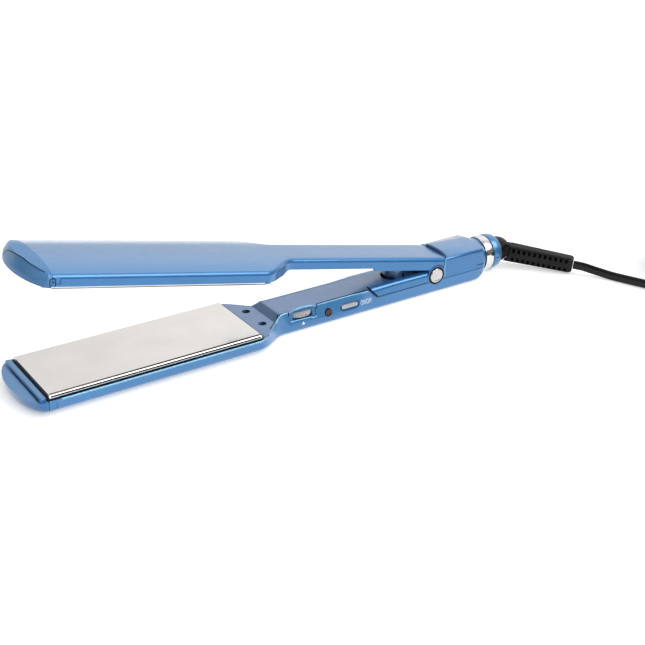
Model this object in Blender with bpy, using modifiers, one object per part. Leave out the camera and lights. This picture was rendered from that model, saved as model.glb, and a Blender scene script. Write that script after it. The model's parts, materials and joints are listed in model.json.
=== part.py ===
"""A wide-plate flat iron, held open, with a swivel cord and its plug.

The iron is laid out along X: the plates' front edge at zero, the cord end at +X.
Z is zero on the plane where the two plates meet, and the control side faces -Y.
"""

import math

import bmesh
import bpy
from mathutils import Matrix, Vector

MM = 0.001

# Fits
FIT = 0.3 * MM  # gap between pieces that seat on each other
RUN = 0.5 * MM  # gap round a piece that moves
CUT = 4.0 * MM  # how far a cutter stands out of what it cuts
SKIM = 0.1 * MM  # how far a piece that is added sinks in where a face would lie on a face
FLAT_ANGLE = 0.002  # faces bent by more than this are split

# Heating plates
PLATE_LENGTH = 124.6 * MM
PLATE_FACE = 46.0 * MM
PLATE_CHAMFER = 2.0 * MM
PLATE_THICK = 2.3 * MM
PLATE_GAP = 0.6 * MM
ELEMENT_THICK = 1.3 * MM
ELEMENT_WIDTH = 18.0 * MM
ELEMENT_MARGIN = 10.0 * MM
PAD_THICK = 0.8 * MM
TRAY_THICK = 1.2 * MM
FUSE_RADIUS = 1.0 * MM
FUSE_LENGTH = 10.0 * MM

# Housings
RIM_WALL = 1.0 * MM
LOWER_DEPTH = 12.0 * MM
UPPER_DEPTH = 11.3 * MM
LOWER_RIM = 2.9 * MM  # how far the lower rim lies below the plate face
UPPER_RIM = 2.5 * MM  # and the upper rim above it
CROWN_FLAT = 6.0 * MM
CROWN_RADIUS = 67.0 * MM
EDGE_RADIUS = 3.0 * MM
EDGE_STEPS = 5
FLOOR_DEPTH = 2.3 * MM

# Nose caps
NOSE_LENGTH = 9.3 * MM
NOSE_SIDE = 3.0 * MM
NOSE_FULLNESS = 0.68
LOWER_ROLL = 7.0 * MM  # how far the lower nose's front rolls in and down at its tip
UPPER_ROLL = 1.4 * MM  # how far the upper nose's front facet leans in at its tip
UPPER_FALL = 7.6 * MM  # and how tall that facet is
NOSE_STEPS = 20
NOSE_SEAM = 1.0 * MM
LOWER_NOSE_FACE = 3.4 * MM
UPPER_NOSE_FACE = 2.0 * MM
BAR_WIDTH = 3.6 * MM
LOWER_BAR = 2.2 * MM
UPPER_BAR = 0.6 * MM
BAR_SHORT = 2.2 * MM
BAR_EDGE = 0.6 * MM
TAB_LENGTH = 3.0 * MM
TAB_HEIGHT = 3.4 * MM
TAB_DEPTH = 0.5 * MM

# Waist and handles
WAIST_LEAD = 2.1 * MM
WAIST_LENGTH = 25.5 * MM
HANDLE_WIDTH = 27.0 * MM
HANDLE_TOP = 0.9 * MM
HANDLE_LEAN = 2.9 * MM
HANDLE_RIM = 1.1 * MM
RAMP_FOOT = 7.5 * MM
RAMP_HEAD = 3.0 * MM
COVER_THICK = 1.2 * MM
COVER_LEDGE = 1.1 * MM
HANDLE_FLOOR = 2.0 * MM
UPPER_HANDLE_RIM = 4.9 * MM
UPPER_STEP_RIM = 3.4 * MM
UPPER_WALL = 1.8 * MM
UPPER_SINK = 0.4 * MM

# Screws in the floors behind the plates
SCREW_BACK = 9.7 * MM
SCREW_SPREAD = 18.2 * MM
SCREW_HEAD = 2.1 * MM
SCREW_SHANK = 1.2 * MM
SCREW_HEAD_THICK = 0.7 * MM
SCREW_SINK = 0.8 * MM
FLOOR_THICK = 2.6 * MM
SCREW_BITE = 3.2 * MM
FEED_RADIUS = 2.0 * MM  # the wires' way from the bay to the handle
FEED_RISE = 1.0 * MM

# Pivot
PIVOT_FROM_HANDLE = 107.6 * MM
OPEN_ANGLE = math.radians(12.8)
HUB_RADIUS = 8.4 * MM
EAR_RADIUS = 6.4 * MM
EAR_PROUD = 0.15 * MM
PIN_RADIUS = 2.4 * MM
PIVOT_HEAD = 4.6 * MM
PIVOT_ROOM = 0.7 * MM  # the dark ring round each head
PIVOT_HEAD_THICK = 1.4 * MM
PIVOT_SINK = 0.9 * MM
PIVOT_SHANK = 1.2 * MM
PIVOT_BITE = 4.0 * MM

# Rear cover with its cheeks and hood
CHEEK_FROM_PIVOT = 49.5 * MM
CHEEK_SLANT = 6.0 * MM
CHEEK_TOP = 2.9 * MM
SEAM = -3.6 * MM
HOOD_FROM_PIVOT = 5.9 * MM
HOOD_LEAN = 3.1 * MM  # how far the hood's front leans back at its shoulder
LEAN_FOOT = 5.0 * MM
LEAN_RISE = 5.8 * MM
ARM_GAP = 0.6 * MM  # between the open upper arm and the hood
HOOD_EDGE = 2.0 * MM
HOOD_TOP = 11.0 * MM
HOOD_CROWN = 36.0 * MM
HOOD_LENGTH = 30.5 * MM
NECK_BLEND = 4.0 * MM
UNDER_BLEND = 4.5 * MM  # how much earlier the underside starts to round up
SEAM_STEP = (0.28, 0.34)  # where, along the blend, the seam steps up to the axis
NECK_RADIUS = 10.8 * MM
NECK_LENGTH = 1.6 * MM
NECK_GROOVE = 0.3 * MM
GROOVE_AT = 0.35  # of the neck's length
SPIGOT_RADIUS = 8.8 * MM
COLLAR_RADIUS = 11.4 * MM
COLLAR_LENGTH = 6.0 * MM
END_RING_LENGTH = 6.9 * MM
END_RING_RADIUS = 9.7 * MM
END_RING_ROUND = 4.5 * MM
RING_STEPS = 4

# Opening spring
SPRING_FROM_PIVOT = 23.6 * MM
BOSS_RADIUS = 6.5 * MM
BOSS_WALL = 1.1 * MM
BOSS_REACH = 4.2 * MM
BOSS_ROOF = 3.0 * MM
SPRING_RADIUS = 3.7 * MM
SPRING_WIRE = 0.5 * MM
SPRING_TURNS = 6
SPRING_TOP = 6.7 * MM
SPRING_SHIFT = 0.35 * MM
SPRING_POST = 3.0 * MM

# Controls on the near wall, placed from the front of the handle
DIAL_X = 12.0 * MM
DIAL_RADIUS = 9.5 * MM
DIAL_TOP = -0.8 * MM
DIAL_THICK = 3.4 * MM
DIAL_PROUD = 0.9 * MM
DIAL_TEETH = 40
DIAL_TOOTH = 0.35 * MM
WINDOW_WIDTH = 13.4 * MM
WINDOW_TOP = 0.3 * MM
WINDOW_DEPTH = 1.6 * MM
BROW_WIDTH = 17.6 * MM
BROW_RISE = 1.0 * MM
SCOOP_WIDTH = 19.0 * MM
SCOOP_FOOT = -5.6 * MM
SCOOP_DEPTH = 0.5 * MM
LAMP_X = 29.1 * MM
LAMP_Z = -5.0 * MM
LAMP_RADIUS = 1.85 * MM
BUTTON_X = 44.3 * MM
BUTTON_Z = -4.6 * MM
BUTTON_LENGTH = 11.6 * MM
BUTTON_HEIGHT = 2.8 * MM
BUTTON_PROUD = 0.4 * MM
BUTTON_TRAVEL = 0.8 * MM
BUTTON_FLANGE = 0.8 * MM
RECESS_MARGIN = 0.4 * MM
RECESS_DEPTH = 0.5 * MM
BOARD_TOP = -5.8 * MM
BOARD_THICK = 1.6 * MM
BOARD_START = 2.0 * MM
BOARD_LENGTH = 52.0 * MM
BOARD_EDGE = 0.2 * MM
POST_RADIUS = 2.0 * MM
POST_INSET = 3.0 * MM
POT_SIDE = 9.0 * MM
POT_SHAFT = 1.5 * MM
SWITCH_LENGTH = 7.0 * MM
SWITCH_HEIGHT = 2.6 * MM
SWITCH_DEPTH = 4.0 * MM

# Cord swivel and strain relief
DOME_RADIUS = 8.6 * MM
DOME_LENGTH = 12.5 * MM
STEM_RADIUS = 6.0 * MM
STEM_LENGTH = 9.0 * MM
CONTACT_LENGTH = 7.0 * MM
CONTACT_PIN = 1.3 * MM
TILT_BACK = 6.3 * MM
TILT_ANGLE = math.radians(50.0)
ROLL_ANGLE = math.radians(6.2)
BOOT_ROOT = 3.5 * MM
BOOT_ROOT_THICK = 9.0 * MM
BOOT_LENGTH = 47.5 * MM
BOOT_HEIGHT = 11.1 * MM
BOOT_WIDTH = 8.6 * MM
BOOT_TAPER = 0.90
BOOT_CORNER = 1.8 * MM
BOOT_END = 2.0 * MM  # the length of its rounded end
BOOT_DROP = 1.5 * MM  # the bar runs this far below the tilt pin's middle
BOOT_CHIN = 3.4 * MM  # its lower edge starts this much nearer the dome
BOOT_SLOTS = 11
BOOT_SPINE = 3.4 * MM
BOOT_WEB = 2.6 * MM  # left between the slots of the two sides
BOOT_RAIL = 0.8 * MM  # left beyond the slots, along the bar's upper and lower edges
BOOT_PLAIN = 5.0 * MM  # the length past the last slot
TILT_PIN = 1.2 * MM

# Cord, coil and plug
CORD_DIAMETER = 5.6 * MM
CORD_LIFT = 0.1 * MM
CORD_STEP = 14.0 * MM
COIL_OUTER = 41.8 * MM
COIL_PITCH = 6.1 * MM
COIL_LAYERS = 4
COIL_TURNS = 3.0
COIL_POINTS = 23
COIL_LIFT = 1.4 * MM
TAIL_OUT = math.radians(60.0)
TAIL_DOWN = math.radians(120.0)
TAIL_RADIUS = 57.0 * MM
TIE_WIDTH = 9.0 * MM
TIE_THICK = 0.8 * MM
PLUG_LENGTH = 30.0 * MM
PLUG_WIDTH = 24.0 * MM
PLUG_HEIGHT = 15.0 * MM
BLADE_LENGTH = 16.5 * MM
BLADE_THICK = 1.5 * MM
BLADE_SPACING = 12.7 * MM
BLADE_NARROW = 6.3 * MM
BLADE_WIDE = 7.9 * MM
BLADE_SUNK = 5.0 * MM
SLEEVE_WALL = 1.5 * MM
PLUG_EDGE = 1.0 * MM

# Lengths that follow from the sizes above
PLATE_HALF = PLATE_FACE / 2 + PLATE_CHAMFER
SHELL_HALF = PLATE_HALF + PLATE_GAP + RIM_WALL
BAY_HALF = SHELL_HALF - RIM_WALL
HANDLE_HALF = HANDLE_WIDTH / 2
REBATE_HALF = HANDLE_HALF - HANDLE_LEAN - HANDLE_RIM
CAVITY_HALF = REBATE_HALF - COVER_LEDGE
WAIST_START = PLATE_LENGTH - WAIST_LEAD
HANDLE_START = WAIST_START + WAIST_LENGTH
PIVOT_X = HANDLE_START + PIVOT_FROM_HANDLE
CHEEK_X = PIVOT_X - CHEEK_FROM_PIVOT
HOOD_X = PIVOT_X + HOOD_FROM_PIVOT
BLEND_X = HOOD_X + HOOD_LENGTH
STEP_START, STEP_END = (BLEND_X + NECK_BLEND * share for share in SEAM_STEP)
NECK_X = BLEND_X + NECK_BLEND
COLLAR_X = NECK_X + NECK_LENGTH
END_RING_X = COLLAR_X + FIT + COLLAR_LENGTH
SPIGOT_END = END_RING_X + END_RING_LENGTH / 2
DOME_X = END_RING_X + FIT + END_RING_LENGTH + RUN
TILT_X = DOME_X + TILT_BACK
SPRING_X = PIVOT_X - SPRING_FROM_PIVOT
BAY_END = PLATE_LENGTH + PLATE_GAP + RIM_WALL
SCREW_X = PLATE_LENGTH + SCREW_BACK
BAY_DEPTH = PLATE_THICK + ELEMENT_THICK + PAD_THICK + TRAY_THICK + 4 * FIT
CAVITY_FLOOR = -LOWER_DEPTH + HANDLE_FLOOR
BOARD_MARGIN = FIT + BUTTON_FLANGE + BUTTON_TRAVEL + RUN  # clear of the pressed button
FLOOR_Z = -LOWER_DEPTH
AXIS_Z = FLOOR_Z + COLLAR_RADIUS  # the collar's underside is level with the housing's
CORD_RADIUS = CORD_DIAMETER / 2
CORD_Z = FLOOR_Z + CORD_RADIUS + CORD_LIFT


# Scene set-up
def clear_scene():
    for obj in list(bpy.data.objects):
        bpy.data.objects.remove(obj, do_unlink=True)


clear_scene()
PARTS = bpy.data.collections.new("flat_iron")
CUTTERS = bpy.data.collections.new("cutters")
bpy.context.scene.collection.children.link(PARTS)
bpy.context.scene.collection.children.link(CUTTERS)


def material(name, colour, metallic=0.0, roughness=0.4):
    made = bpy.data.materials.new(name)
    made.use_nodes = True
    shader = made.node_tree.nodes["Principled BSDF"]
    shader.inputs["Base Color"].default_value = (*colour, 1.0)
    shader.inputs["Metallic"].default_value = metallic
    shader.inputs["Roughness"].default_value = roughness
    made.diffuse_color = (*colour, 1.0)
    return made


BLUE = material("satin_blue_paint", (0.16, 0.36, 0.62), 0.5, 0.35)
COVER_BLUE = material("cover_blue_paint", (0.20, 0.40, 0.64), 0.5, 0.38)
STEEL = material("polished_plate", (0.80, 0.79, 0.76), 1.0, 0.12)
CHROME = material("chrome", (0.86, 0.87, 0.88), 1.0, 0.06)
BLACK = material("black_moulding", (0.015, 0.015, 0.017), 0.0, 0.45)
RUBBER = material("black_rubber", (0.02, 0.02, 0.02), 0.0, 0.6)
CERAMIC = material("white_ceramic", (0.85, 0.84, 0.80), 0.0, 0.5)
MICA = material("mica_pad", (0.60, 0.52, 0.38), 0.0, 0.6)
BOARD = material("board_green", (0.05, 0.25, 0.12), 0.0, 0.5)
LENS = material("red_lens", (0.45, 0.03, 0.03), 0.0, 0.15)
BRASS = material("brass", (0.78, 0.60, 0.28), 1.0, 0.25)
SPRING_STEEL = material("spring_steel", (0.55, 0.55, 0.56), 1.0, 0.3)

IRON = bpy.data.objects.new("iron", None)
UPPER_ARM = bpy.data.objects.new("upper_arm", None)
SWIVEL = bpy.data.objects.new("cord_swivel", None)
TILT = bpy.data.objects.new("cord_tilt", None)
for empty in (IRON, UPPER_ARM, SWIVEL, TILT):
    PARTS.objects.link(empty)
for empty, parent in ((UPPER_ARM, IRON), (SWIVEL, IRON), (TILT, SWIVEL)):
    empty.parent = parent
NOSE_TIP = -NOSE_SIDE - NOSE_LENGTH
TAIL_END = DOME_X + DOME_LENGTH * math.sqrt(1 - ((BOOT_ROOT_THICK / 2 + RUN) / DOME_RADIUS) ** 2)
IRON.location = (-(NOSE_TIP + TAIL_END) / 2, 0.0, LOWER_DEPTH)
UPPER_ARM.location = (PIVOT_X, 0.0, 0.0)
UPPER_ARM.rotation_euler = (0.0, OPEN_ANGLE, 0.0)
SWIVEL.location = (TILT_X, 0.0, AXIS_Z)
SWIVEL.rotation_euler = (ROLL_ANGLE, 0.0, 0.0)
TILT.rotation_euler = (0.0, 0.0, -TILT_ANGLE)


# Modelling helpers
def to_object(name, mesh):
    """A mesh as an object that isn't yet a part or a cutter."""
    bm = bmesh.new()
    bm.from_mesh(mesh)
    bmesh.ops.remove_doubles(bm, verts=bm.verts, dist=1e-6)
    bmesh.ops.recalc_face_normals(bm, faces=bm.faces)
    bm.to_mesh(mesh)
    bm.free()
    return bpy.data.objects.new(name, mesh)


def part(obj, name, finish, parent=None, smooth=35.0):
    """Takes a shape into the assembly under its own name and finish."""
    obj.name = name
    obj.data.name = name
    obj.data.materials.clear()
    obj.data.materials.append(finish)
    PARTS.objects.link(obj)
    obj.parent = parent or IRON
    if parent is UPPER_ARM:
        obj.location = (-PIVOT_X, 0.0, 0.0)
    obj.data.shade_smooth()
    obj.data.set_sharp_from_angle(angle=math.radians(smooth))
    return obj


def helper(obj, parent=None):
    CUTTERS.objects.link(obj)
    obj.parent = parent or IRON
    if parent is UPPER_ARM:
        obj.location = (-PIVOT_X, 0.0, 0.0)
    obj.hide_render = True
    obj.display_type = "WIRE"
    return obj


def join(target, other, operation):
    modifier = target.modifiers.new(operation.lower(), "BOOLEAN")
    modifier.operation = operation
    modifier.solver = "EXACT"
    modifier.object = helper(other, target.parent)


def cut(target, *others):
    for other in others:
        join(target, other, "DIFFERENCE")


def add(target, *others):
    for other in others:
        join(target, other, "UNION")


def from_bmesh(name, bm):
    mesh = bpy.data.meshes.new(name)
    bm.to_mesh(mesh)
    bm.free()
    return to_object(name, mesh)


def box(name, low, high, bevel=0.0, segments=3):
    bm = bmesh.new()
    bmesh.ops.create_cube(bm, size=1.0)
    low, high = Vector(low), Vector(high)
    size = high - low
    bmesh.ops.scale(bm, vec=size, verts=bm.verts)
    bmesh.ops.translate(bm, vec=(low + high) / 2, verts=bm.verts)
    if bevel:
        bmesh.ops.bevel(bm, geom=bm.edges[:], offset=bevel, segments=segments, affect="EDGES", profile=0.5)
    return from_bmesh(name, bm)


AXES = {"X": Matrix.Rotation(math.pi / 2, 4, "Y"), "Y": Matrix.Rotation(-math.pi / 2, 4, "X"), "Z": Matrix()}


def rod(name, axis, radius, start, end, centre=(0.0, 0.0), sides=32):
    """A round bar along an axis, from start to end, at the other two coordinates."""
    bm = bmesh.new()
    bmesh.ops.create_cone(bm, cap_ends=True, segments=sides, radius1=radius, radius2=radius, depth=end - start)
    bmesh.ops.transform(bm, matrix=AXES[axis], verts=bm.verts)
    middle = (start + end) / 2
    first, second = centre
    place = {"X": (middle, first, second), "Y": (first, middle, second), "Z": (first, second, middle)}[axis]
    bmesh.ops.translate(bm, vec=place, verts=bm.verts)
    return from_bmesh(name, bm)


def loft(name, rings):
    """Skins rings of the same number of points and closes both ends."""
    bm = bmesh.new()
    made = [[bm.verts.new(point) for point in ring] for ring in rings]
    count = len(rings[0])
    for first, second in zip(made, made[1:]):
        for k in range(count):
            after = (k + 1) % count
            bm.faces.new((first[k], first[after], second[after], second[k]))
    bm.faces.new(made[0])
    bm.faces.new(made[-1])
    bmesh.ops.connect_verts_nonplanar(bm, angle_limit=FLAT_ANGLE, faces=bm.faces)
    return from_bmesh(name, bm)


def slab(name, outline, thickness, matrix=None):
    """A flat outline, drawn in X and Y, given a thickness that is centred on it."""
    curve = bpy.data.curves.new(name, "CURVE")
    curve.dimensions = "2D"
    curve.fill_mode = "BOTH"
    curve.extrude = thickness / 2
    spline = curve.splines.new("POLY")
    spline.points.add(len(outline) - 1)
    for point, (x, y) in zip(spline.points, outline):
        point.co = (x, y, 0.0, 1.0)
    spline.use_cyclic_u = True
    source = bpy.data.objects.new(name, curve)
    mesh = bpy.data.meshes.new_from_object(source)
    bpy.data.objects.remove(source)
    if matrix:
        mesh.transform(matrix)
    obj = to_object(name, mesh)
    bm = bmesh.new()
    bm.from_mesh(mesh)
    bmesh.ops.dissolve_limit(bm, angle_limit=0.001, verts=bm.verts, edges=bm.edges)
    bm.to_mesh(mesh)
    bm.free()
    return obj


UPRIGHT = Matrix.Rotation(math.pi / 2, 4, "X")


def side_slab(name, outline, start, end):
    """An outline drawn in X and Z, running across the iron from one Y to another."""
    return slab(name, outline, end - start, Matrix.Translation((0.0, (start + end) / 2, 0.0)) @ UPRIGHT)


def turned(name, profile, axis="Z", steps=32):
    """A profile of (radius, height), listed from top to bottom, turned round an axis."""
    mesh = bpy.data.meshes.new(name)
    points = [(radius, 0.0, height) for radius, height in profile]
    mesh.from_pydata(points, [(k, k + 1) for k in range(len(points) - 1)], [])
    source = bpy.data.objects.new(name, mesh)
    bpy.context.scene.collection.objects.link(source)
    screw = source.modifiers.new("turn", "SCREW")
    screw.axis = "Z"
    screw.steps = steps
    screw.render_steps = steps
    screw.use_merge_vertices = True
    screw.merge_threshold = 1e-5
    bpy.context.view_layer.update()
    graph = bpy.context.evaluated_depsgraph_get()
    made = bpy.data.meshes.new_from_object(source.evaluated_get(graph))
    bpy.data.objects.remove(source)
    made.transform(AXES[axis])
    return to_object(name, made)


def ring_of(name, outer, inner, start, end, edge):
    """A turned collar along X with rounded outer edges."""
    quarter = edge * (1 - math.sqrt(0.5))
    profile = [(inner, end), (outer - edge, end), (outer - quarter, end - quarter)]
    profile += [(outer, end - edge), (outer, start + edge), (outer - quarter, start + quarter)]
    profile += [(outer - edge, start), (inner, start), (inner, end)]
    return turned(name, profile, "X")


def pill(length, height, steps=8):
    """A stadium outline, long in X."""
    radius = height / 2
    points = []
    for side in (1, -1):
        for k in range(steps + 1):
            angle = math.radians(90.0 - 180.0 * k / steps)
            points.append((side * (length / 2 - radius + radius * math.cos(angle)), side * radius * math.sin(angle)))
    return points


def smooth(t):
    t = min(1.0, max(0.0, t))
    return (1 - math.cos(math.pi * t)) / 2


def rounding(t):
    """How far a quarter round has come in, part way along it."""
    t = min(1.0, max(0.0, t))
    return 1 - math.sqrt(1 - t * t)


def along(x, table):
    """Straight-line interpolation in a table of (x, value)."""
    if x <= table[0][0]:
        return table[0][1]
    for (x0, v0), (x1, v1) in zip(table, table[1:]):
        if x <= x1:
            return v0 + (v1 - v0) * (x - x0) / (x1 - x0)
    return table[-1][1]


# Outer form shared by both arms
def waist(x):
    return smooth((x - WAIST_START) / WAIST_LENGTH)


def half_width(x):
    return SHELL_HALF + (HANDLE_HALF - SHELL_HALF) * waist(x)


def crowned_edge(half, radius=EDGE_RADIUS, flat=CROWN_FLAT, crown=CROWN_RADIUS):
    """Half a crowned face from its middle out to the side wall, as (y, height above the crown)."""
    reach = half - radius
    tilt = 0.0
    for _ in range(8):
        start = reach + radius * math.sin(tilt)
        tilt = math.atan(max(0.0, start - flat) / crown)
    points = []
    for share in (0.0, 0.35, 0.7, 1.0):
        y = flat + (start - flat) * share
        points.append((y, (y - flat) ** 2 / (2 * crown)))
    centre = points[-1][1] + radius * math.cos(tilt)
    for k in range(1, EDGE_STEPS + 1):
        angle = tilt + (math.pi / 2 - tilt) * k / EDGE_STEPS
        points.append((reach + radius * math.sin(angle), centre - radius * math.cos(angle)))
    return points


def neck_quarter(radius, count, sign):
    """The same number of points on a quarter of the round neck."""
    points = []
    for k in range(count):
        angle = math.pi / 2 * (1 - (k + 1) / count)
        points.append((radius * math.cos(angle), AXIS_Z + sign * max(FIT / 2, radius * math.sin(angle))))
    return points


def mirrored(x, half):
    return [(x, y, z) for y, z in half] + [(x, -y, z) for y, z in reversed(half)]


def neck_radius(x):
    groove = NECK_X + NECK_LENGTH * GROOVE_AT
    table = [(groove - NECK_GROOVE, NECK_RADIUS), (groove, NECK_RADIUS - NECK_GROOVE)]
    table += [(groove + NECK_GROOVE, NECK_RADIUS - NECK_GROOVE), (groove + 2 * NECK_GROOVE, NECK_RADIUS)]
    table += [(COLLAR_X - FIT, NECK_RADIUS), (COLLAR_X, SPIGOT_RADIUS)]
    return along(x, table)


def neck_stations():
    groove = NECK_X + NECK_LENGTH * GROOVE_AT
    found = spread(BLEND_X, NECK_X, 7)
    found += [groove + NECK_GROOVE * k for k in (-1, 0, 1, 2)]
    return found + [COLLAR_X - FIT, COLLAR_X, SPIGOT_END]


def blended(half, x, sign):
    """Rounds a handle section in to the round neck, sharply at the top of the hood."""
    part_way = min(1.0, max(0.0, (x - BLEND_X) / NECK_BLEND))
    share = rounding(part_way)
    under = rounding((x - BLEND_X + UNDER_BLEND) / (NECK_BLEND + UNDER_BLEND))
    inward, fall = (share, math.sin(math.pi / 2 * part_way)) if sign > 0 else (under, under)
    round_half = neck_quarter(neck_radius(x), len(half), sign)
    found = [(a + (c - a) * inward, b + (d - b) * fall) for (a, b), (c, d) in zip(half, round_half)]
    (a, b), (c, d) = half[-1], round_half[-1]
    return found[:-1] + [(a + (c - a) * share, b + (d - b) * share)]


def lower_top(x):
    slant = CHEEK_SLANT / (CHEEK_TOP - SEAM)
    front = CHEEK_X + slant * (CHEEK_TOP - HANDLE_TOP) - FIT
    table = [(PLATE_LENGTH + FIT, -LOWER_RIM), (PLATE_LENGTH + 2 * RUN, -FLOOR_DEPTH)]
    table += [(HANDLE_START - RAMP_FOOT, -FLOOR_DEPTH), (HANDLE_START - RAMP_HEAD, HANDLE_TOP)]
    table += [(front, HANDLE_TOP), (CHEEK_X + CHEEK_SLANT - FIT, SEAM - FIT / 2)]
    table += [(STEP_START, SEAM - FIT / 2), (STEP_END, AXIS_Z - FIT / 2)]
    return table


def lower_inset(x):
    rear = CHEEK_X + CHEEK_SLANT
    table = [(rear - 3 * CHEEK_SLANT, HANDLE_LEAN), (rear, HANDLE_LEAN * 0.45), (rear + 4 * CHEEK_SLANT, 0.0)]
    return waist(x) * along(x, table)


def spread(start, end, count):
    return [start + (end - start) * k / count for k in range(count + 1)]


def stations(start, end, *groups):
    """Places along the iron, in order and none closer than a twentieth of a millimetre."""
    found = sorted(x for group in groups for x in group if start < x < end)
    kept = [start]
    for x in found + [end]:
        if x - kept[-1] > 0.05 * MM:
            kept.append(x)
    return kept


SHELL_FRONT = -NOSE_SEAM + FIT / 2
WAIST_STATIONS = spread(WAIST_START, HANDLE_START, 14)


def lower_ring(x):
    half = [(y, h - LOWER_DEPTH) for y, h in crowned_edge(half_width(x))]
    table = lower_top(x)
    half.append((half_width(x) - lower_inset(x), along(x, table)))
    return mirrored(x, blended(half, x, -1))


def lower_body():
    places = [x for x, _ in lower_top(0.0)]
    rear = CHEEK_X + CHEEK_SLANT
    places += [rear - 3 * CHEEK_SLANT, rear - CHEEK_SLANT, rear + CHEEK_SLANT, rear + 4 * CHEEK_SLANT]
    places += spread(BLEND_X - UNDER_BLEND, BLEND_X, 4)
    found = stations(SHELL_FRONT, SPIGOT_END, WAIST_STATIONS, places, neck_stations())
    return loft("lower_body", [lower_ring(x) for x in found])


def upper_rim(x):
    step = CHEEK_X - FIT
    table = [(PLATE_LENGTH + FIT, UPPER_RIM), (HANDLE_START - RAMP_FOOT, UPPER_RIM)]
    table += [(HANDLE_START - RAMP_HEAD, UPPER_HANDLE_RIM), (step, UPPER_HANDLE_RIM)]
    table += [(step + UPPER_HANDLE_RIM - UPPER_STEP_RIM, UPPER_STEP_RIM)]
    return table


UPPER_REAR = HOOD_X + HOOD_LEAN


def hood_front(gap):
    """The line of the hood's front, seen from the side and moved forward by a gap."""
    points = [(HOOD_X - gap, LEAN_FOOT)]
    for k in range(1, 8):
        share = k / 5
        points.append((HOOD_X - gap + HOOD_LEAN * share**1.5, LEAN_FOOT + LEAN_RISE * share))
    return points


def closed_place(x, z):
    """Where a point of the open upper arm lies when it is closed."""
    x -= PIVOT_X
    sine, cosine = math.sin(OPEN_ANGLE), math.cos(OPEN_ANGLE)
    return PIVOT_X + x * cosine - z * sine, x * sine + z * cosine


def upper_body():
    rings = []
    for x in stations(SHELL_FRONT, UPPER_REAR, WAIST_STATIONS, [x for x, _ in upper_rim(0.0)]):
        half = [(y, UPPER_DEPTH - h) for y, h in crowned_edge(half_width(x))]
        half.append((half_width(x), along(x, upper_rim(x))))
        rings.append(mirrored(x, half))
    return loft("upper_body", rings)


# Plate stacks, the same in both arms with their heights turned over
def bay(sign):
    """The hollow that takes a plate and what lies behind it."""
    heights = sorted((sign * (-CUT), sign * (BAY_DEPTH + FIT)))
    return box("bay", (-CUT, -BAY_HALF, heights[0]), (BAY_END, BAY_HALF, heights[1]))


def level_box(name, x0, x1, half, near, far, sign, bevel=0.0):
    """A box between two distances behind the plate face."""
    heights = sorted((sign * near, sign * far))
    return box(name, (x0, -half, heights[0]), (x1, half, heights[1]), bevel)


def plate(sign):
    edge = PLATE_CHAMFER
    deep = [(PLATE_HALF - edge, 0.0), (PLATE_HALF - 0.4 * edge, 0.25 * edge), (PLATE_HALF, 0.75 * edge)]
    outline = deep + [(PLATE_HALF, PLATE_THICK)]
    ring = [(y, sign * z) for y, z in outline] + [(-y, sign * z) for y, z in reversed(outline)]
    return loft("plate", [[(x, y, z) for y, z in ring] for x in (0.0, PLATE_LENGTH)])


def plate_stack(arm, sign, parent):
    part(plate(sign), arm + "_plate", STEEL, parent, 20.0)
    start, end = ELEMENT_MARGIN, PLATE_LENGTH - ELEMENT_MARGIN
    near = PLATE_THICK + FIT
    part(
        level_box("element", start, end, ELEMENT_WIDTH / 2, near, near + ELEMENT_THICK, sign),
        arm + "_heating_element", CERAMIC, parent,
    )
    near += ELEMENT_THICK + FIT
    part(
        level_box("pad", start, end, ELEMENT_WIDTH / 2, near, near + PAD_THICK, sign),
        arm + "_insulation_pad", MICA, parent,
    )
    near += PAD_THICK + FIT
    half = BAY_HALF - FIT
    rear = BAY_END - FIT
    tray = level_box("tray", FIT - NOSE_SEAM, rear, half, PLATE_THICK + FIT, near + TRAY_THICK, sign)
    hollow = level_box("hollow", RIM_WALL, PLATE_LENGTH - RIM_WALL, half - RIM_WALL, -CUT, near, sign)
    cut(part(tray, arm + "_plate_tray", BLACK, parent), hollow)


# Nose caps
def nose_point(angle, inset):
    """A point on the nose's outline, moved in square to it."""
    def place(turn):
        turn = min(math.pi, max(0.0, turn))
        reach = NOSE_LENGTH * math.sin(turn) ** (2 * NOSE_FULLNESS)
        return Vector((-NOSE_SIDE - reach, -SHELL_HALF * math.cos(turn)))
    step = 0.02
    tangent = (place(angle + step) - place(angle - step)).normalized()
    inward = Vector((tangent.y, -tangent.x))
    point = place(angle) + inward * inset
    return point if abs(math.cos(angle)) < 0.999 else Vector((point.x, place(angle).y * (1 - inset / SHELL_HALF)))


def nose_row(inset):
    points = [Vector((-NOSE_SEAM - FIT / 2, -SHELL_HALF + inset))]
    for k in range(NOSE_STEPS + 1):
        points.append(nose_point(math.pi * k / NOSE_STEPS, inset))
    points.append(Vector((-NOSE_SEAM - FIT / 2, SHELL_HALF - inset)))
    return points


def crown_height(y):
    return max(0.0, abs(y) - CROWN_FLAT) ** 2 / (2 * CROWN_RADIUS)


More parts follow.
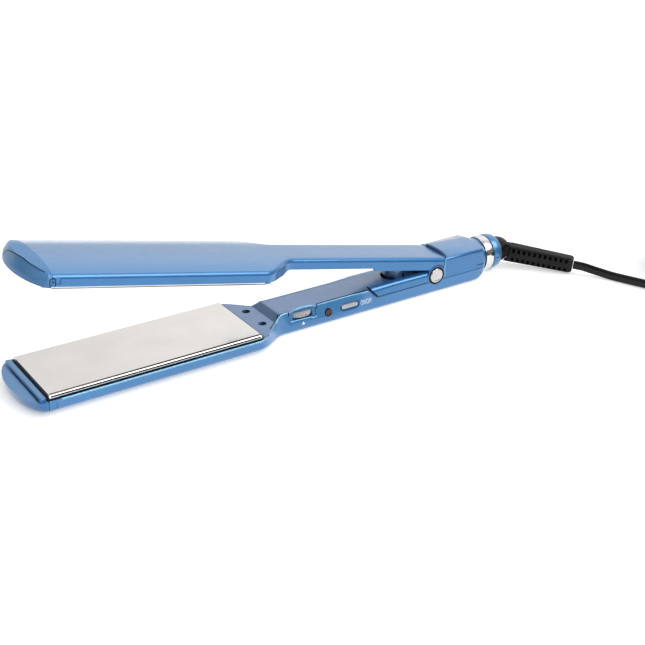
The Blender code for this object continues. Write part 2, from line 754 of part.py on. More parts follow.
def nose_cap(depth, face, roll_at_tip, fall_at_tip, sign):
    """A crowned cap, flat on the side of the plates, with a rolled front.

    Where the front falls further than it rolls in, it is a facet with a crease at its top.
    """
    bm = bmesh.new()
    outline = nose_row(0.0)
    rows = [[bm.verts.new((p.x, p.y, sign * face)) for p in outline]]
    shares = [1 - (p.y / SHELL_HALF) ** 2 for p in outline]
    for k in range(EDGE_STEPS, -1, -1):
        angle = math.pi / 2 * k / EDGE_STEPS
        row = []
        for index, share in enumerate(shares):
            roll = EDGE_RADIUS + (roll_at_tip - EDGE_RADIUS) * share
            fall = EDGE_RADIUS + (fall_at_tip - EDGE_RADIUS) * share
            sharp = 1 + min(1.0, max(0.0, fall / roll - 1))
            p = nose_row(roll * (1 - math.sin(angle) ** sharp))[index]
            level = depth - crown_height(p.y) - fall * (1 - max(0.0, math.cos(angle)) ** sharp)
            row.append(bm.verts.new((p.x, p.y, sign * level)))
        rows.append(row)
    for first, second in zip(rows, rows[1:]):
        for k in range(len(first) - 1):
            bm.faces.new((first[k], first[k + 1], second[k + 1], second[k]))
    inner = rows[-1]
    rear = [bm.verts.new((inner[0].co.x, v.co.y, v.co.z)) for v in inner[2:-2]]
    rear = [inner[0]] + rear + [inner[-1]]
    for k in range(len(rear) - 1):
        bm.faces.new((inner[k + 1], inner[k + 2], rear[k + 1], rear[k]))
    bm.faces.new(rows[0])
    open_edges = [edge for edge in bm.edges if edge.is_boundary]
    bmesh.ops.contextual_create(bm, geom=open_edges)
    bmesh.ops.connect_verts_nonplanar(bm, angle_limit=FLAT_ANGLE, faces=bm.faces)
    return from_bmesh("nose", bm)


def nose(arm, depth, face, roll, fall, bar_height, sign, parent):
    cap = part(nose_cap(depth, face, roll, fall, sign), arm + "_nose_cap", BLUE, parent)
    front = -NOSE_SEAM - FIT / 2 - BAR_WIDTH
    half = SHELL_HALF - BAR_SHORT
    edge = BAR_EDGE if bar_height > 2 * BAR_EDGE else 0.0
    add(cap, level_box("bar", front, front + BAR_WIDTH - FIT, half, face - bar_height, face + 2 * RUN, sign, edge))
    return cap


def tab_windows(sign, depth):
    """Shallow windows where the nose cap snaps into the side walls."""
    found = []
    middle = (LOWER_RIM + depth - EDGE_RADIUS) / 2
    for side in (-1, 1):
        ys = sorted((side * (SHELL_HALF - TAB_DEPTH), side * (SHELL_HALF + CUT)))
        zs = sorted((sign * (middle - TAB_HEIGHT / 2), sign * (middle + TAB_HEIGHT / 2)))
        found.append(box("tab_window", (RUN, ys[0], zs[0]), (RUN + TAB_LENGTH, ys[1], zs[1])))
    return found


# Inset covers
def cover_body(name, margin, floor, roof, x0, x1):
    """A plate that follows the waist in plan and two lines of heights along the iron."""
    rings = []
    places = [place for place, _ in floor + roof]
    for x in stations(x0, x1, WAIST_STATIONS, places):
        half = half_width(x) - RIM_WALL - (margin - RIM_WALL) * waist(x)
        low, high = along(x, floor), along(x, roof)
        rings.append([(x, -half, low), (x, half, low), (x, half, high), (x, -half, high)])
    return loft(name, rings)


COVER_START = BAY_END + 2 * RUN
COVER_END = PIVOT_X - HUB_RADIUS - 3 * RUN
LOWER_LINE = [
    (HANDLE_START - RAMP_FOOT, -FLOOR_DEPTH),
    (HANDLE_START - RAMP_HEAD, HANDLE_TOP),
]
LOWER_UNDER = [
    (HANDLE_START - RAMP_FOOT, -FLOOR_DEPTH - FLOOR_THICK),
    (HANDLE_START - RAMP_HEAD, HANDLE_TOP - COVER_THICK),
]
UPPER_LINE = [
    (HANDLE_START - RAMP_FOOT, UPPER_RIM + UPPER_SINK),
    (HANDLE_START - RAMP_HEAD, UPPER_HANDLE_RIM + UPPER_SINK),
    (CHEEK_X - FIT, UPPER_HANDLE_RIM + UPPER_SINK),
    (CHEEK_X - FIT + UPPER_HANDLE_RIM - UPPER_STEP_RIM, UPPER_STEP_RIM + UPPER_SINK),
]
UPPER_OVER = [
    (HANDLE_START - RAMP_FOOT, UPPER_RIM + UPPER_SINK + FLOOR_THICK),
    (HANDLE_START - RAMP_HEAD, UPPER_HANDLE_RIM + UPPER_SINK + COVER_THICK),
]
LOWER_MARGIN = HANDLE_LEAN + HANDLE_RIM + FIT
UPPER_MARGIN = UPPER_WALL + FIT


def lifted(table, by):
    return [(x, z + by) for x, z in table]


def screw(name, x, y, head, sign, parent):
    """A pan-head screw, its head's seat at the given height behind the plate face."""
    radius, thick = SCREW_HEAD, SCREW_HEAD_THICK
    profile = [(0.0, thick), (radius * 0.7, thick), (radius, thick * 0.5), (radius, 0.0), (SCREW_SHANK, 0.0)]
    profile += [(SCREW_SHANK, -SCREW_BITE), (0.0, -SCREW_BITE)]
    obj = turned(name, profile, steps=20)
    flip = Matrix.Rotation(math.pi, 4, "X") if sign > 0 else Matrix()
    obj.data.transform(Matrix.Translation((x, y, head)) @ flip)
    zs = sorted((head - sign * 0.5 * thick, head - sign * (thick + CUT)))
    reach, blade = 0.6 * radius, 0.12 * radius
    made = part(obj, name, CHROME, parent)
    cut(made, box("driver", (x - reach, y - blade, zs[0]), (x + reach, y + blade, zs[1])))
    return made


# Lower arm
LOWER = part(lower_body(), "lower_housing", BLUE)
NEAR_LEAN = HANDLE_LEAN / (HANDLE_TOP + LOWER_DEPTH - EDGE_RADIUS)


def wall_y(z):
    """Where the outer face of the near handle wall lies at a height."""
    return -(HANDLE_HALF - NEAR_LEAN * max(0.0, z + LOWER_DEPTH - EDGE_RADIUS))


DIAL = (HANDLE_START + DIAL_X, wall_y(DIAL_TOP - DIAL_THICK / 2) - DIAL_PROUD + DIAL_RADIUS)
BROW_CHORD = BROW_WIDTH / 2
BROW_RADIUS = (BROW_CHORD**2 + BROW_RISE**2) / (2 * BROW_RISE)


def brow():
    """A low arched rise of the rim over the thumbwheel."""
    sweep = math.asin(BROW_CHORD / BROW_RADIUS)
    points = [(DIAL[0] + BROW_RADIUS * math.sin(a), HANDLE_TOP + BROW_RISE - BROW_RADIUS * (1 - math.cos(a)))
              for a in spread(-sweep, sweep, 12)]
    points += [(DIAL[0] + BROW_CHORD, HANDLE_TOP - RUN), (DIAL[0] - BROW_CHORD, HANDLE_TOP - RUN)]
    y = wall_y(HANDLE_TOP)
    return side_slab("brow", points, y + SKIM, y + HANDLE_RIM)


def scoop():
    """A shallow flat along the leaning wall round the thumbwheel's window."""
    foot, head = SCOOP_FOOT, HANDLE_TOP - RUN
    half = SCOOP_WIDTH / 2
    rings = []
    for z in (foot, head):
        inner, outer = wall_y(z) + SCOOP_DEPTH, wall_y(z) - CUT
        shape = ((-half, outer), (half, outer), (half - RUN, inner), (RUN - half, inner))
        rings.append([(DIAL[0] + x, y, z) for x, y in shape])
    return loft("scoop", rings)


def window():
    """The arched opening that the thumbwheel stands out of."""
    foot = DIAL_TOP - DIAL_THICK - RUN
    half = WINDOW_WIDTH / 2
    points = [(DIAL[0] + half * math.cos(a), WINDOW_TOP - BROW_RISE + BROW_RISE * math.sin(a))
              for a in spread(0.0, math.pi, 10)]
    points += [(DIAL[0] - half, foot), (DIAL[0] + half, foot)]
    return side_slab("window", points, wall_y(foot) - CUT, wall_y(foot) + WINDOW_DEPTH)


def opening(x, z, length, height, start, end):
    points = [(x + a, z + b) for a, b in pill(length, height)]
    return side_slab("opening", points, start, end)


LAMP = (HANDLE_START + LAMP_X, LAMP_Z)
BUTTON = (HANDLE_START + BUTTON_X, BUTTON_Z)
BUTTON_WALL = wall_y(BUTTON_Z)
INNER_WALL = -CAVITY_HALF


def head_recesses():
    """Round pockets for the heads on the hinge pin, which reach over the seam."""
    found = []
    for side in (-1, 1):
        ys = sorted((side * (HANDLE_HALF - PIVOT_SINK), side * (HANDLE_HALF + CUT)))
        found.append(rod("head_recess", "Y", PIVOT_HEAD + PIVOT_ROOM, ys[0], ys[1], (PIVOT_X, 0.0), 36))
    return found


def lower_housing():
    add(LOWER, brow())
    cut(LOWER, bay(-1))
    cut(LOWER, cover_body("cover_seat", LOWER_MARGIN - FIT, lifted(LOWER_UNDER, -FIT),
                          [(0.0, HANDLE_TOP + CUT)], COVER_START - FIT, COVER_END + RUN))
    cut(LOWER, box("cavity", (HANDLE_START, -CAVITY_HALF, CAVITY_FLOOR),
                   (HOOD_X + HUB_RADIUS, CAVITY_HALF, HANDLE_TOP + CUT)))
    cut(LOWER, rod("wire_way", "X", STEM_RADIUS * 0.6, HOOD_X, NECK_X + CUT, (0.0, AXIS_Z), 24))
    cut(LOWER, rod("swivel_bore", "X", STEM_RADIUS + RUN, NECK_X - CONTACT_LENGTH, SPIGOT_END + CUT,
                   (0.0, AXIS_Z), 32))
    cut(LOWER, rod("feed", "X", FEED_RADIUS, PLATE_LENGTH - CUT, HANDLE_START + CUT,
                   (0.0, -BAY_DEPTH + FEED_RISE), 16))
    cut(LOWER, scoop(), window())
    cut(LOWER, rod("dial_pocket", "Z", DIAL_RADIUS + RUN, DIAL_TOP - DIAL_THICK - RUN, DIAL_TOP + RUN, DIAL, 40))
    start = wall_y(SCOOP_FOOT) - CUT
    cut(LOWER, rod("lamp_hole", "Y", LAMP_RADIUS + FIT, start, INNER_WALL + CUT, LAMP, 24))
    cut(LOWER, opening(*BUTTON, BUTTON_LENGTH + 2 * RUN, BUTTON_HEIGHT + 2 * RUN, start, INNER_WALL + CUT))
    wide, tall = BUTTON_LENGTH + 2 * RUN + 2 * RECESS_MARGIN, BUTTON_HEIGHT + 2 * RUN + 2 * RECESS_MARGIN
    cut(LOWER, opening(*BUTTON, wide, tall, start, BUTTON_WALL + RECESS_DEPTH))
    for side in (-1, 1):
        y = side * SCREW_SPREAD / 2
        seat = -FLOOR_DEPTH - SCREW_SINK - SCREW_HEAD_THICK
        cut(LOWER, rod("screw_hole", "Z", SCREW_SHANK + FIT, seat - SCREW_BITE - 2 * FIT, CUT, (SCREW_X, y), 20))
    cut(LOWER, *tab_windows(-1, LOWER_DEPTH), *head_recesses())
    for x in (BOARD_START + POST_INSET, BOARD_START + BOARD_LENGTH - POST_INSET):
        add(LOWER, rod("post", "Z", POST_RADIUS, CAVITY_FLOOR - RUN, BOARD_TOP - BOARD_THICK - FIT,
                       (HANDLE_START + x, 0.0), 16))
    add(LOWER, rod("spring_post", "Z", SPRING_RADIUS - SPRING_WIRE - 2 * RUN, CAVITY_FLOOR - RUN,
                   CAVITY_FLOOR + SPRING_POST, (SPRING_X + SPRING_SHIFT, 0.0), 16))


lower_housing()
nose("lower", LOWER_DEPTH, LOWER_NOSE_FACE, LOWER_ROLL, LOWER_ROLL, LOWER_BAR, -1, IRON)
plate_stack("lower", -1, IRON)
FUSE_Z = -(PLATE_THICK + FIT + FUSE_RADIUS + FIT)
part(
    rod("fuse", "X", FUSE_RADIUS, PLATE_LENGTH * 0.7, PLATE_LENGTH * 0.7 + FUSE_LENGTH,
        (ELEMENT_WIDTH / 2 + 3 * FUSE_RADIUS, FUSE_Z), 16),
    "thermal_fuse", CHROME,
)


def handle_cover():
    shape = cover_body("cover", LOWER_MARGIN, LOWER_UNDER, LOWER_LINE, COVER_START, COVER_END)
    cover = part(shape, "handle_cover", COVER_BLUE)
    for side in (-1, 1):
        place = (SCREW_X, side * SCREW_SPREAD / 2)
        seat = -FLOOR_DEPTH - SCREW_SINK - SCREW_HEAD_THICK - FIT
        cut(cover, rod("head_hole", "Z", SCREW_HEAD + FIT, seat, CUT, place, 24))
        cut(cover, rod("shank_hole", "Z", SCREW_SHANK + FIT, seat - CUT, CUT, place, 20))
        screw("cover_screw_" + ("near" if side < 0 else "far"), *place, seat + FIT, -1, IRON)
    cut(cover, rod("boss_well", "Z", BOSS_RADIUS + 2 * RUN, HANDLE_TOP - COVER_THICK - CUT, HANDLE_TOP + CUT,
                   (SPRING_X, 0.0), 32))


handle_cover()


# Rear cover: two cheeks that run forward, a hood over the hub, and half of the neck
def rear_ring(x):
    if x < HOOD_X - FIT:
        half = [(y, CHEEK_TOP - h) for y, h in crowned_edge(HANDLE_HALF, EDGE_RADIUS, CROWN_FLAT, 10 * CROWN_RADIUS)]
    else:
        half = [(y, HOOD_TOP - h) for y, h in crowned_edge(HANDLE_HALF, HOOD_EDGE, CROWN_FLAT / 3, HOOD_CROWN)]
    table = [(STEP_START, SEAM + FIT / 2), (STEP_END, AXIS_Z + FIT / 2)]
    half.append((HANDLE_HALF, along(x, table)))
    return mirrored(x, blended(half, x, 1))


def rear_cover():
    places = [HOOD_X - 2 * FIT, HOOD_X, STEP_START, STEP_END]
    found = stations(CHEEK_X - CUT / 2, SPIGOT_END, places, neck_stations())
    cover = part(loft("rear", [rear_ring(x) for x in found]), "rear_cover", BLUE)
    front = hood_front(0.0)
    lean = [(HOOD_X - CUT, LEAN_FOOT)] + front + [(HOOD_X - CUT, front[-1][1])]
    cut(cover, side_slab("lean", lean, -HANDLE_HALF - CUT, HANDLE_HALF + CUT))
    low = math.asin((SEAM + FIT) / EAR_RADIUS)
    arc = [(PIVOT_X + EAR_RADIUS * math.cos(a), EAR_RADIUS * math.sin(a)) for a in spread(low, math.pi - low, 40)]
    for side in (-1, 1):
        ys = sorted((side * (REBATE_HALF - RUN), side * (HANDLE_HALF + EAR_PROUD)))
        add(cover, side_slab("ear", arc, ys[0], ys[1]))
    slope = CHEEK_SLANT / (CHEEK_TOP - SEAM)
    slant = [(CHEEK_X - 2 * CUT, CHEEK_TOP + CUT), (CHEEK_X - slope * CUT, CHEEK_TOP + CUT)]
    slant += [(CHEEK_X + CHEEK_SLANT + slope * CUT, SEAM - CUT), (CHEEK_X - 2 * CUT, SEAM - CUT)]
    cut(cover, side_slab("slant", slant, -HANDLE_HALF - CUT, HANDLE_HALF + CUT))
    cut(cover, box("upper_channel", (CHEEK_X - 2 * CUT, -REBATE_HALF, HANDLE_TOP - COVER_THICK - FIT),
                   (HOOD_X + FIT, REBATE_HALF, HOOD_TOP + CUT)))
    cut(cover, box("lower_channel", (CHEEK_X - 2 * CUT, -CAVITY_HALF, SEAM - CUT),
                   (HOOD_X, CAVITY_HALF, HANDLE_TOP)))
    half = CAVITY_HALF + FIT
    cut(cover, rod("hub_room", "Y", HUB_RADIUS + 2 * RUN, -half, half, (PIVOT_X, 0.0), 36))
    cut(cover, rod("wire_way", "X", STEM_RADIUS * 0.6, HOOD_X, NECK_X + CUT, (0.0, AXIS_Z), 24))
    cut(cover, rod("swivel_bore", "X", STEM_RADIUS + RUN, NECK_X - CONTACT_LENGTH, SPIGOT_END + CUT,
                   (0.0, AXIS_Z), 32))
    cut(cover, rod("pin_bore", "Y", PIN_RADIUS + FIT, -HANDLE_HALF - CUT, HANDLE_HALF + CUT, (PIVOT_X, 0.0), 24))
    cut(cover, *head_recesses())


rear_cover()


# Hinge pin and its two heads
def hinge():
    end = HANDLE_HALF - PIVOT_SINK - FIT
    pin = part(rod("pin", "Y", PIN_RADIUS, -end, end, (PIVOT_X, 0.0), 24), "hinge_pin", SPRING_STEEL)
    for side, name in ((-1, "pivot_screw_near"), (1, "pivot_screw_far")):
        ys = sorted((side * (end - PIVOT_BITE), side * (end + CUT)))
        cut(pin, rod("thread", "Y", PIVOT_SHANK + FIT, ys[0], ys[1], (PIVOT_X, 0.0), 16))
        top, rim = PIVOT_HEAD_THICK, PIVOT_HEAD_THICK * 0.55
        profile = [(0.0, top), (PIVOT_HEAD * 0.55, top * 0.96), (PIVOT_HEAD * 0.85, top * 0.82)]
        profile += [(PIVOT_HEAD, rim), (PIVOT_HEAD, 0.0), (PIVOT_SHANK, 0.0)]
        profile += [(PIVOT_SHANK, -PIVOT_BITE + FIT), (0.0, -PIVOT_BITE + FIT)]
        head = turned(name, profile, "Y", 28)
        turn = Matrix() if side > 0 else Matrix.Rotation(math.pi, 4, "Z")
        place = Matrix.Translation((PIVOT_X, side * (end + 2 * FIT), 0.0))
        head.data.transform(place @ turn)
        part(head, name, CHROME)


hinge()


# Upper arm, modelled closed and swung open by its empty
def ear_notches():
    found = []
    for side in (-1, 1):
        ys = sorted((side * (CAVITY_HALF + SKIM), side * (HANDLE_HALF + CUT)))
        found.append(rod("ear_notch", "Y", EAR_RADIUS + RUN, ys[0], ys[1], (PIVOT_X, 0.0), 32))
    return found


def upper_housing():
    upper = part(upper_body(), "upper_housing", BLUE, UPPER_ARM)
    cut(upper, bay(1))
    cut(upper, cover_body("upper_seat", UPPER_WALL, [(0.0, -CUT)], lifted(UPPER_OVER, FIT),
                          COVER_START - FIT, UPPER_REAR + CUT))
    half = HANDLE_HALF - UPPER_WALL - COVER_LEDGE
    roof = UPPER_DEPTH - HANDLE_FLOOR
    cut(upper, box("upper_channel", (HANDLE_START, -half, 0.0), (UPPER_REAR + CUT, half, roof)))
    cut(upper, rod("upper_feed", "X", FEED_RADIUS, PLATE_LENGTH - CUT, HANDLE_START + CUT,
                   (0.0, BAY_DEPTH - FEED_RISE), 16))
    seat = UPPER_RIM + UPPER_SINK + SCREW_SINK + SCREW_HEAD_THICK
    for side in (-1, 1):
        cut(upper, rod("screw_hole", "Z", SCREW_SHANK + FIT, -CUT, seat + SCREW_BITE + 2 * FIT,
                       (SCREW_X, side * SCREW_SPREAD / 2), 20))
    cut(upper, *ear_notches(), *tab_windows(1, UPPER_DEPTH))
    front = [(HOOD_X - ARM_GAP, -CUT)] + hood_front(ARM_GAP)
    behind = front + [(HOOD_X + 4 * CUT, front[-1][1]), (HOOD_X + 4 * CUT, -CUT)]
    cut(upper, side_slab("behind", [closed_place(x, z) for x, z in behind], -HANDLE_HALF - CUT, HANDLE_HALF + CUT))


def inner_cover():
    shape = cover_body("inner", UPPER_MARGIN, UPPER_LINE, UPPER_OVER, COVER_START, PIVOT_X)
    cover = part(shape, "upper_inner_cover", COVER_BLUE, UPPER_ARM)
    roof = along(PIVOT_X, UPPER_LINE) + COVER_THICK / 2
    add(cover, rod("boss", "Z", BOSS_RADIUS, -BOSS_REACH, roof, (SPRING_X, 0.0), 28))
    cut(cover, *ear_notches())
    add(cover, rod("hub", "Y", HUB_RADIUS, -CAVITY_HALF + RUN, CAVITY_HALF - RUN, (PIVOT_X, 0.0), 28))
    cut(cover, rod("spring_cup", "Z", BOSS_RADIUS - BOSS_WALL, -BOSS_REACH - CUT, BOSS_ROOF, (SPRING_X, 0.0), 20))
    cut(cover, rod("hub_bore", "Y", PIN_RADIUS + FIT, -HANDLE_HALF, HANDLE_HALF, (PIVOT_X, 0.0), 24))
    seat = UPPER_RIM + UPPER_SINK + SCREW_SINK + SCREW_HEAD_THICK + FIT
    for side in (-1, 1):
        place = (SCREW_X, side * SCREW_SPREAD / 2)
        cut(cover, rod("head_hole", "Z", SCREW_HEAD + FIT, -CUT, seat, place, 24))
        cut(cover, rod("shank_hole", "Z", SCREW_SHANK + FIT, -CUT, seat + CUT, place, 20))
        screw("upper_screw_" + ("near" if side < 0 else "far"), *place, seat - FIT, 1, UPPER_ARM)


upper_housing()
nose("upper", UPPER_DEPTH, UPPER_NOSE_FACE, UPPER_ROLL, UPPER_FALL, UPPER_BAR, 1, UPPER_ARM)
plate_stack("upper", 1, UPPER_ARM)
inner_cover()


# Opening spring between the lower floor and the boss of the upper arm
def tube(name, points, radius, resolution, finish, parent=None):
    """A round tube along points, with closed ends."""
    curve = bpy.data.curves.new(name, "CURVE")
    curve.dimensions = "3D"
    curve.bevel_depth = radius
    curve.bevel_resolution = resolution
    curve.use_fill_caps = True
    spline = curve.splines.new("POLY")
    spline.points.add(len(points) - 1)
    for point, place in zip(spline.points, points):
        point.co = (*place, 1.0)
    spline.use_smooth = True
    obj = bpy.data.objects.new(name, curve)
    curve.materials.append(finish)
    PARTS.objects.link(obj)
    obj.parent = parent or IRON
    return obj


def opening_spring():
    foot = CAVITY_FLOOR + FIT + SPRING_WIRE
    points = []
    steps = 8
    for k in range(SPRING_TURNS * steps + 1):
        share = k / (SPRING_TURNS * steps)
        angle = 2 * math.pi * k / steps
        height = foot + (SPRING_TOP - SPRING_WIRE - foot) * share
        x = SPRING_X + SPRING_SHIFT + SPRING_RADIUS * math.cos(angle)
        points.append((x, SPRING_RADIUS * math.sin(angle), height))
    tube("opening_spring", points, SPRING_WIRE, 1, SPRING_STEEL)


opening_spring()


# Controls and what they work on
def thumbwheel():
    points = []
    for k in range(2 * DIAL_TEETH):
        angle = math.pi * k / DIAL_TEETH
        radius = DIAL_RADIUS - DIAL_TOOTH * (k % 2)
        points.append((radius * math.cos(angle), radius * math.sin(angle)))
    dial = part(slab("dial", points, DIAL_THICK), "temperature_dial", BLACK, None, 20.0)
    dial.location = (*DIAL, DIAL_TOP - DIAL_THICK / 2)
    cut(dial, rod("dial_bore", "Z", POT_SHAFT + FIT, DIAL_TOP - DIAL_THICK - CUT, DIAL_TOP + CUT, DIAL, 20))


def lamp():
    foot = INNER_WALL + FIT
    lens = part(rod("lens", "Y", LAMP_RADIUS, wall_y(LAMP_Z) - FIT, foot + RUN, LAMP, 24), "indicator_lens", LENS)
    add(lens, rod("lens_flange", "Y", LAMP_RADIUS + 2 * RUN, foot, foot + 2 * RUN, LAMP, 24))


def push_button():
    foot = INNER_WALL + FIT
    front = BUTTON_WALL - BUTTON_PROUD
    length = foot + BUTTON_FLANGE / 2 - front
    button = slab("button", pill(BUTTON_LENGTH, BUTTON_HEIGHT, 10), length, UPRIGHT)
    button = part(button, "power_button", BLUE)
    button.location = (BUTTON[0], front + length / 2, BUTTON[1])
    wide, tall = BUTTON_LENGTH + 4 * RUN, BUTTON_HEIGHT + 4 * RUN
    add(button, opening(*BUTTON, wide, tall, foot, foot + BUTTON_FLANGE))


def electronics():
    half = CAVITY_HALF - BOARD_MARGIN
    start = HANDLE_START + BOARD_START
    part(
        box("board", (start, -half, BOARD_TOP - BOARD_THICK), (start + BOARD_LENGTH, half, BOARD_TOP), BOARD_EDGE, 1),
        "circuit_board", BOARD,
    )
    side = POT_SIDE / 2
    low, high = BOARD_TOP + FIT, DIAL_TOP - DIAL_THICK - RUN
    pot = part(
        box("pot", (DIAL[0] - side, DIAL[1] - side, low), (DIAL[0] + side, DIAL[1] + side, high)),
        "dial_potentiometer", BLACK,
    )
    add(pot, rod("pot_shaft", "Z", POT_SHAFT, high - RUN, DIAL_TOP - FIT, DIAL, 20))
    back = INNER_WALL + FIT + BUTTON_FLANGE + BUTTON_TRAVEL + FIT
    reach = SWITCH_LENGTH / 2
    body = box("switch", (BUTTON[0] - reach, back + RUN, low),
               (BUTTON[0] + reach, back + SWITCH_DEPTH, low + SWITCH_HEIGHT))
    switch = part(body, "push_switch", BLACK)
    middle = (BUTTON[0], low + SWITCH_HEIGHT / 2)
    add(switch, rod("plunger", "Y", SWITCH_HEIGHT * 0.3, back, back + 2 * RUN, middle, 16))


thumbwheel()
lamp()
push_button()
electronics()


# Collar, end ring and the swivel they hold
def rear_rings():
    shift = Matrix.Translation((0.0, 0.0, AXIS_Z))
    start = COLLAR_X + FIT
    ring = ring_of("collar", COLLAR_RADIUS, SPIGOT_RADIUS + FIT, start, start + COLLAR_LENGTH, RUN)
    ring.data.transform(shift)
    part(ring, "chrome_collar", CHROME)
    start = END_RING_X + FIT
    end = start + END_RING_LENGTH
    narrow = COLLAR_RADIUS - END_RING_RADIUS
    profile = [(SPIGOT_RADIUS + FIT, end)]
    for k in range(RING_STEPS, -1, -1):
        t = k / RING_STEPS
        profile.append((COLLAR_RADIUS - narrow * rounding(t), end - END_RING_ROUND * (1 - t)))
    profile += [(COLLAR_RADIUS, start), (SPIGOT_RADIUS + FIT, start), (SPIGOT_RADIUS + FIT, end)]
    ring = turned("end", profile, "X")
    ring.data.transform(shift)
    part(ring, "end_ring", BLUE)
    front = NECK_X - CONTACT_LENGTH
    axis = (0.0, AXIS_Z)
    block = rod("contacts", "X", STEM_RADIUS + RUN - FIT, front + FIT, NECK_X - FIT, axis, 32)
    block = part(block, "swivel_contacts", BRASS)
    cut(block, rod("contact_bore", "X", CONTACT_PIN + RUN, front - CUT, NECK_X + CUT, axis, 16))


def swivel():
    steps = 8
    profile = []
    for k in range(steps + 1):
        angle = math.pi / 2 * (1 - k / steps)
        profile.append((DOME_RADIUS * math.cos(angle) if k else 0.0, DOME_LENGTH * math.sin(angle)))
    skirt = SPIGOT_END + RUN - DOME_X
    profile += [(DOME_RADIUS, skirt), (STEM_RADIUS, skirt), (STEM_RADIUS, skirt - STEM_LENGTH)]
    profile.append((0.0, skirt - STEM_LENGTH))
    shape = turned("dome", profile, "X", 32)
    shape.data.transform(Matrix.Translation((-TILT_BACK, 0.0, 0.0)))
    dome = part(shape, "swivel_dome", BLACK, SWIVEL)
    half = BOOT_ROOT_THICK / 2 + RUN
    wide = DOME_RADIUS + CUT
    cut(dome, box("tilt_slot", (-BOOT_ROOT - RUN, -wide, -half), (DOME_LENGTH + CUT, wide, half)))
    stem_end = -TILT_BACK + skirt - STEM_LENGTH
    cut(dome, rod("pin_seat", "X", CONTACT_PIN + FIT, stem_end - CUT, stem_end + CONTACT_LENGTH, (0.0, 0.0), 16))
    cut(dome, rod("tilt_bore", "Z", TILT_PIN + FIT, -DOME_RADIUS - CUT, DOME_RADIUS + CUT, (0.0, 0.0), 16))
    pin_start = NECK_X - CONTACT_LENGTH / 2 - TILT_X
    part(
        rod("contact", "X", CONTACT_PIN, pin_start, stem_end + CONTACT_LENGTH - FIT, (0.0, 0.0), 16),
        "contact_pin", BRASS, SWIVEL,
    )
    reach = DOME_RADIUS * math.sqrt(1 - (TILT_BACK / DOME_LENGTH) ** 2) - 2 * RUN
    part(rod("tilt", "Z", TILT_PIN, -reach, reach, (0.0, 0.0), 16), "tilt_pin", CHROME, SWIVEL)


rear_rings()
swivel()


# Strain relief: a tapered bar, slotted from both edges to leave a spine
def round_box(x, width, height, corner, steps=3):
    """A rounded rectangle across X."""
    points = []
    for sy, sz, start in ((1, 1, 0.0), (-1, 1, 90.0), (-1, -1, 180.0), (1, -1, 270.0)):
        for k in range(steps + 1):
            angle = math.radians(start + 90.0 * k / steps)
            y = sy * (width / 2 - corner) + corner * math.cos(angle)
            z = sz * (height / 2 - corner) + corner * math.sin(angle)
            points.append((x, y, z))
    return points


def boot_scale(s):
    return 1 - (1 - BOOT_TAPER) * max(0.0, s - BOOT_SWELL) / (BOOT_LENGTH - BOOT_SWELL)


BOOT_SWELL = DOME_LENGTH - TILT_BACK + 2 * RUN


def strain_relief():
    rings = []
    slim_width, slim_height = 2 * BOOT_ROOT - 2 * FIT, BOOT_ROOT_THICK - FIT
    for s in (0.0, BOOT_SWELL - 2 * RUN):
        rings.append(round_box(s, slim_width, slim_height, BOOT_CORNER))
    sections = [(BOOT_SWELL, 1.0), (BOOT_LENGTH - BOOT_END, 1.0)]
    sections += [(BOOT_LENGTH - 0.35 * BOOT_END, 0.92), (BOOT_LENGTH, 0.78)]
    for s, shrink in sections:
        scale = boot_scale(s) * shrink
        ring = round_box(s, BOOT_WIDTH * scale, BOOT_HEIGHT * scale, BOOT_CORNER * shrink)
        rings.append([(x, y, z - BOOT_DROP) for x, y, z in ring])
    drop = BOOT_DROP + (BOOT_HEIGHT - BOOT_ROOT_THICK) / 2
    rings[2] = [(x - BOOT_CHIN * max(0.0, -z - BOOT_ROOT_THICK / 2) / drop, y, z) for x, y, z in rings[2]]
    boot = part(loft("boot", rings), "strain_relief", RUBBER, TILT)
    add(boot, rod("boot_root", "Z", BOOT_ROOT, -BOOT_ROOT_THICK / 2, BOOT_ROOT_THICK / 2, (0.0, 0.0), 24))
    cut(boot, rod("boot_bore", "Z", TILT_PIN + FIT, -BOOT_ROOT_THICK, BOOT_ROOT_THICK, (0.0, 0.0), 16))
    first, last = BOOT_SWELL + 3 * RUN, BOOT_LENGTH - BOOT_PLAIN
    pitch = (last - first) / (BOOT_SLOTS - 1)
    for up in (-1, 1):
        bm = bmesh.new()
        for k in range(BOOT_SLOTS):
            s = first + pitch * (k + 0.25)
            inner, outer = BOOT_SPINE / 2, boot_scale(s) * BOOT_HEIGHT / 2 - BOOT_RAIL
            size = Matrix.Diagonal((pitch / 2, BOOT_WIDTH, outer - inner, 1.0))
            for side in (-1, 1):
                y = side * (BOOT_WEB + BOOT_WIDTH) / 2
                place = Matrix.Translation((s, y, up * (inner + outer) / 2 - BOOT_DROP))
                bmesh.ops.create_cube(bm, size=1.0, matrix=place @ size)
        cut(boot, from_bmesh("boot_slots", bm))


strain_relief()


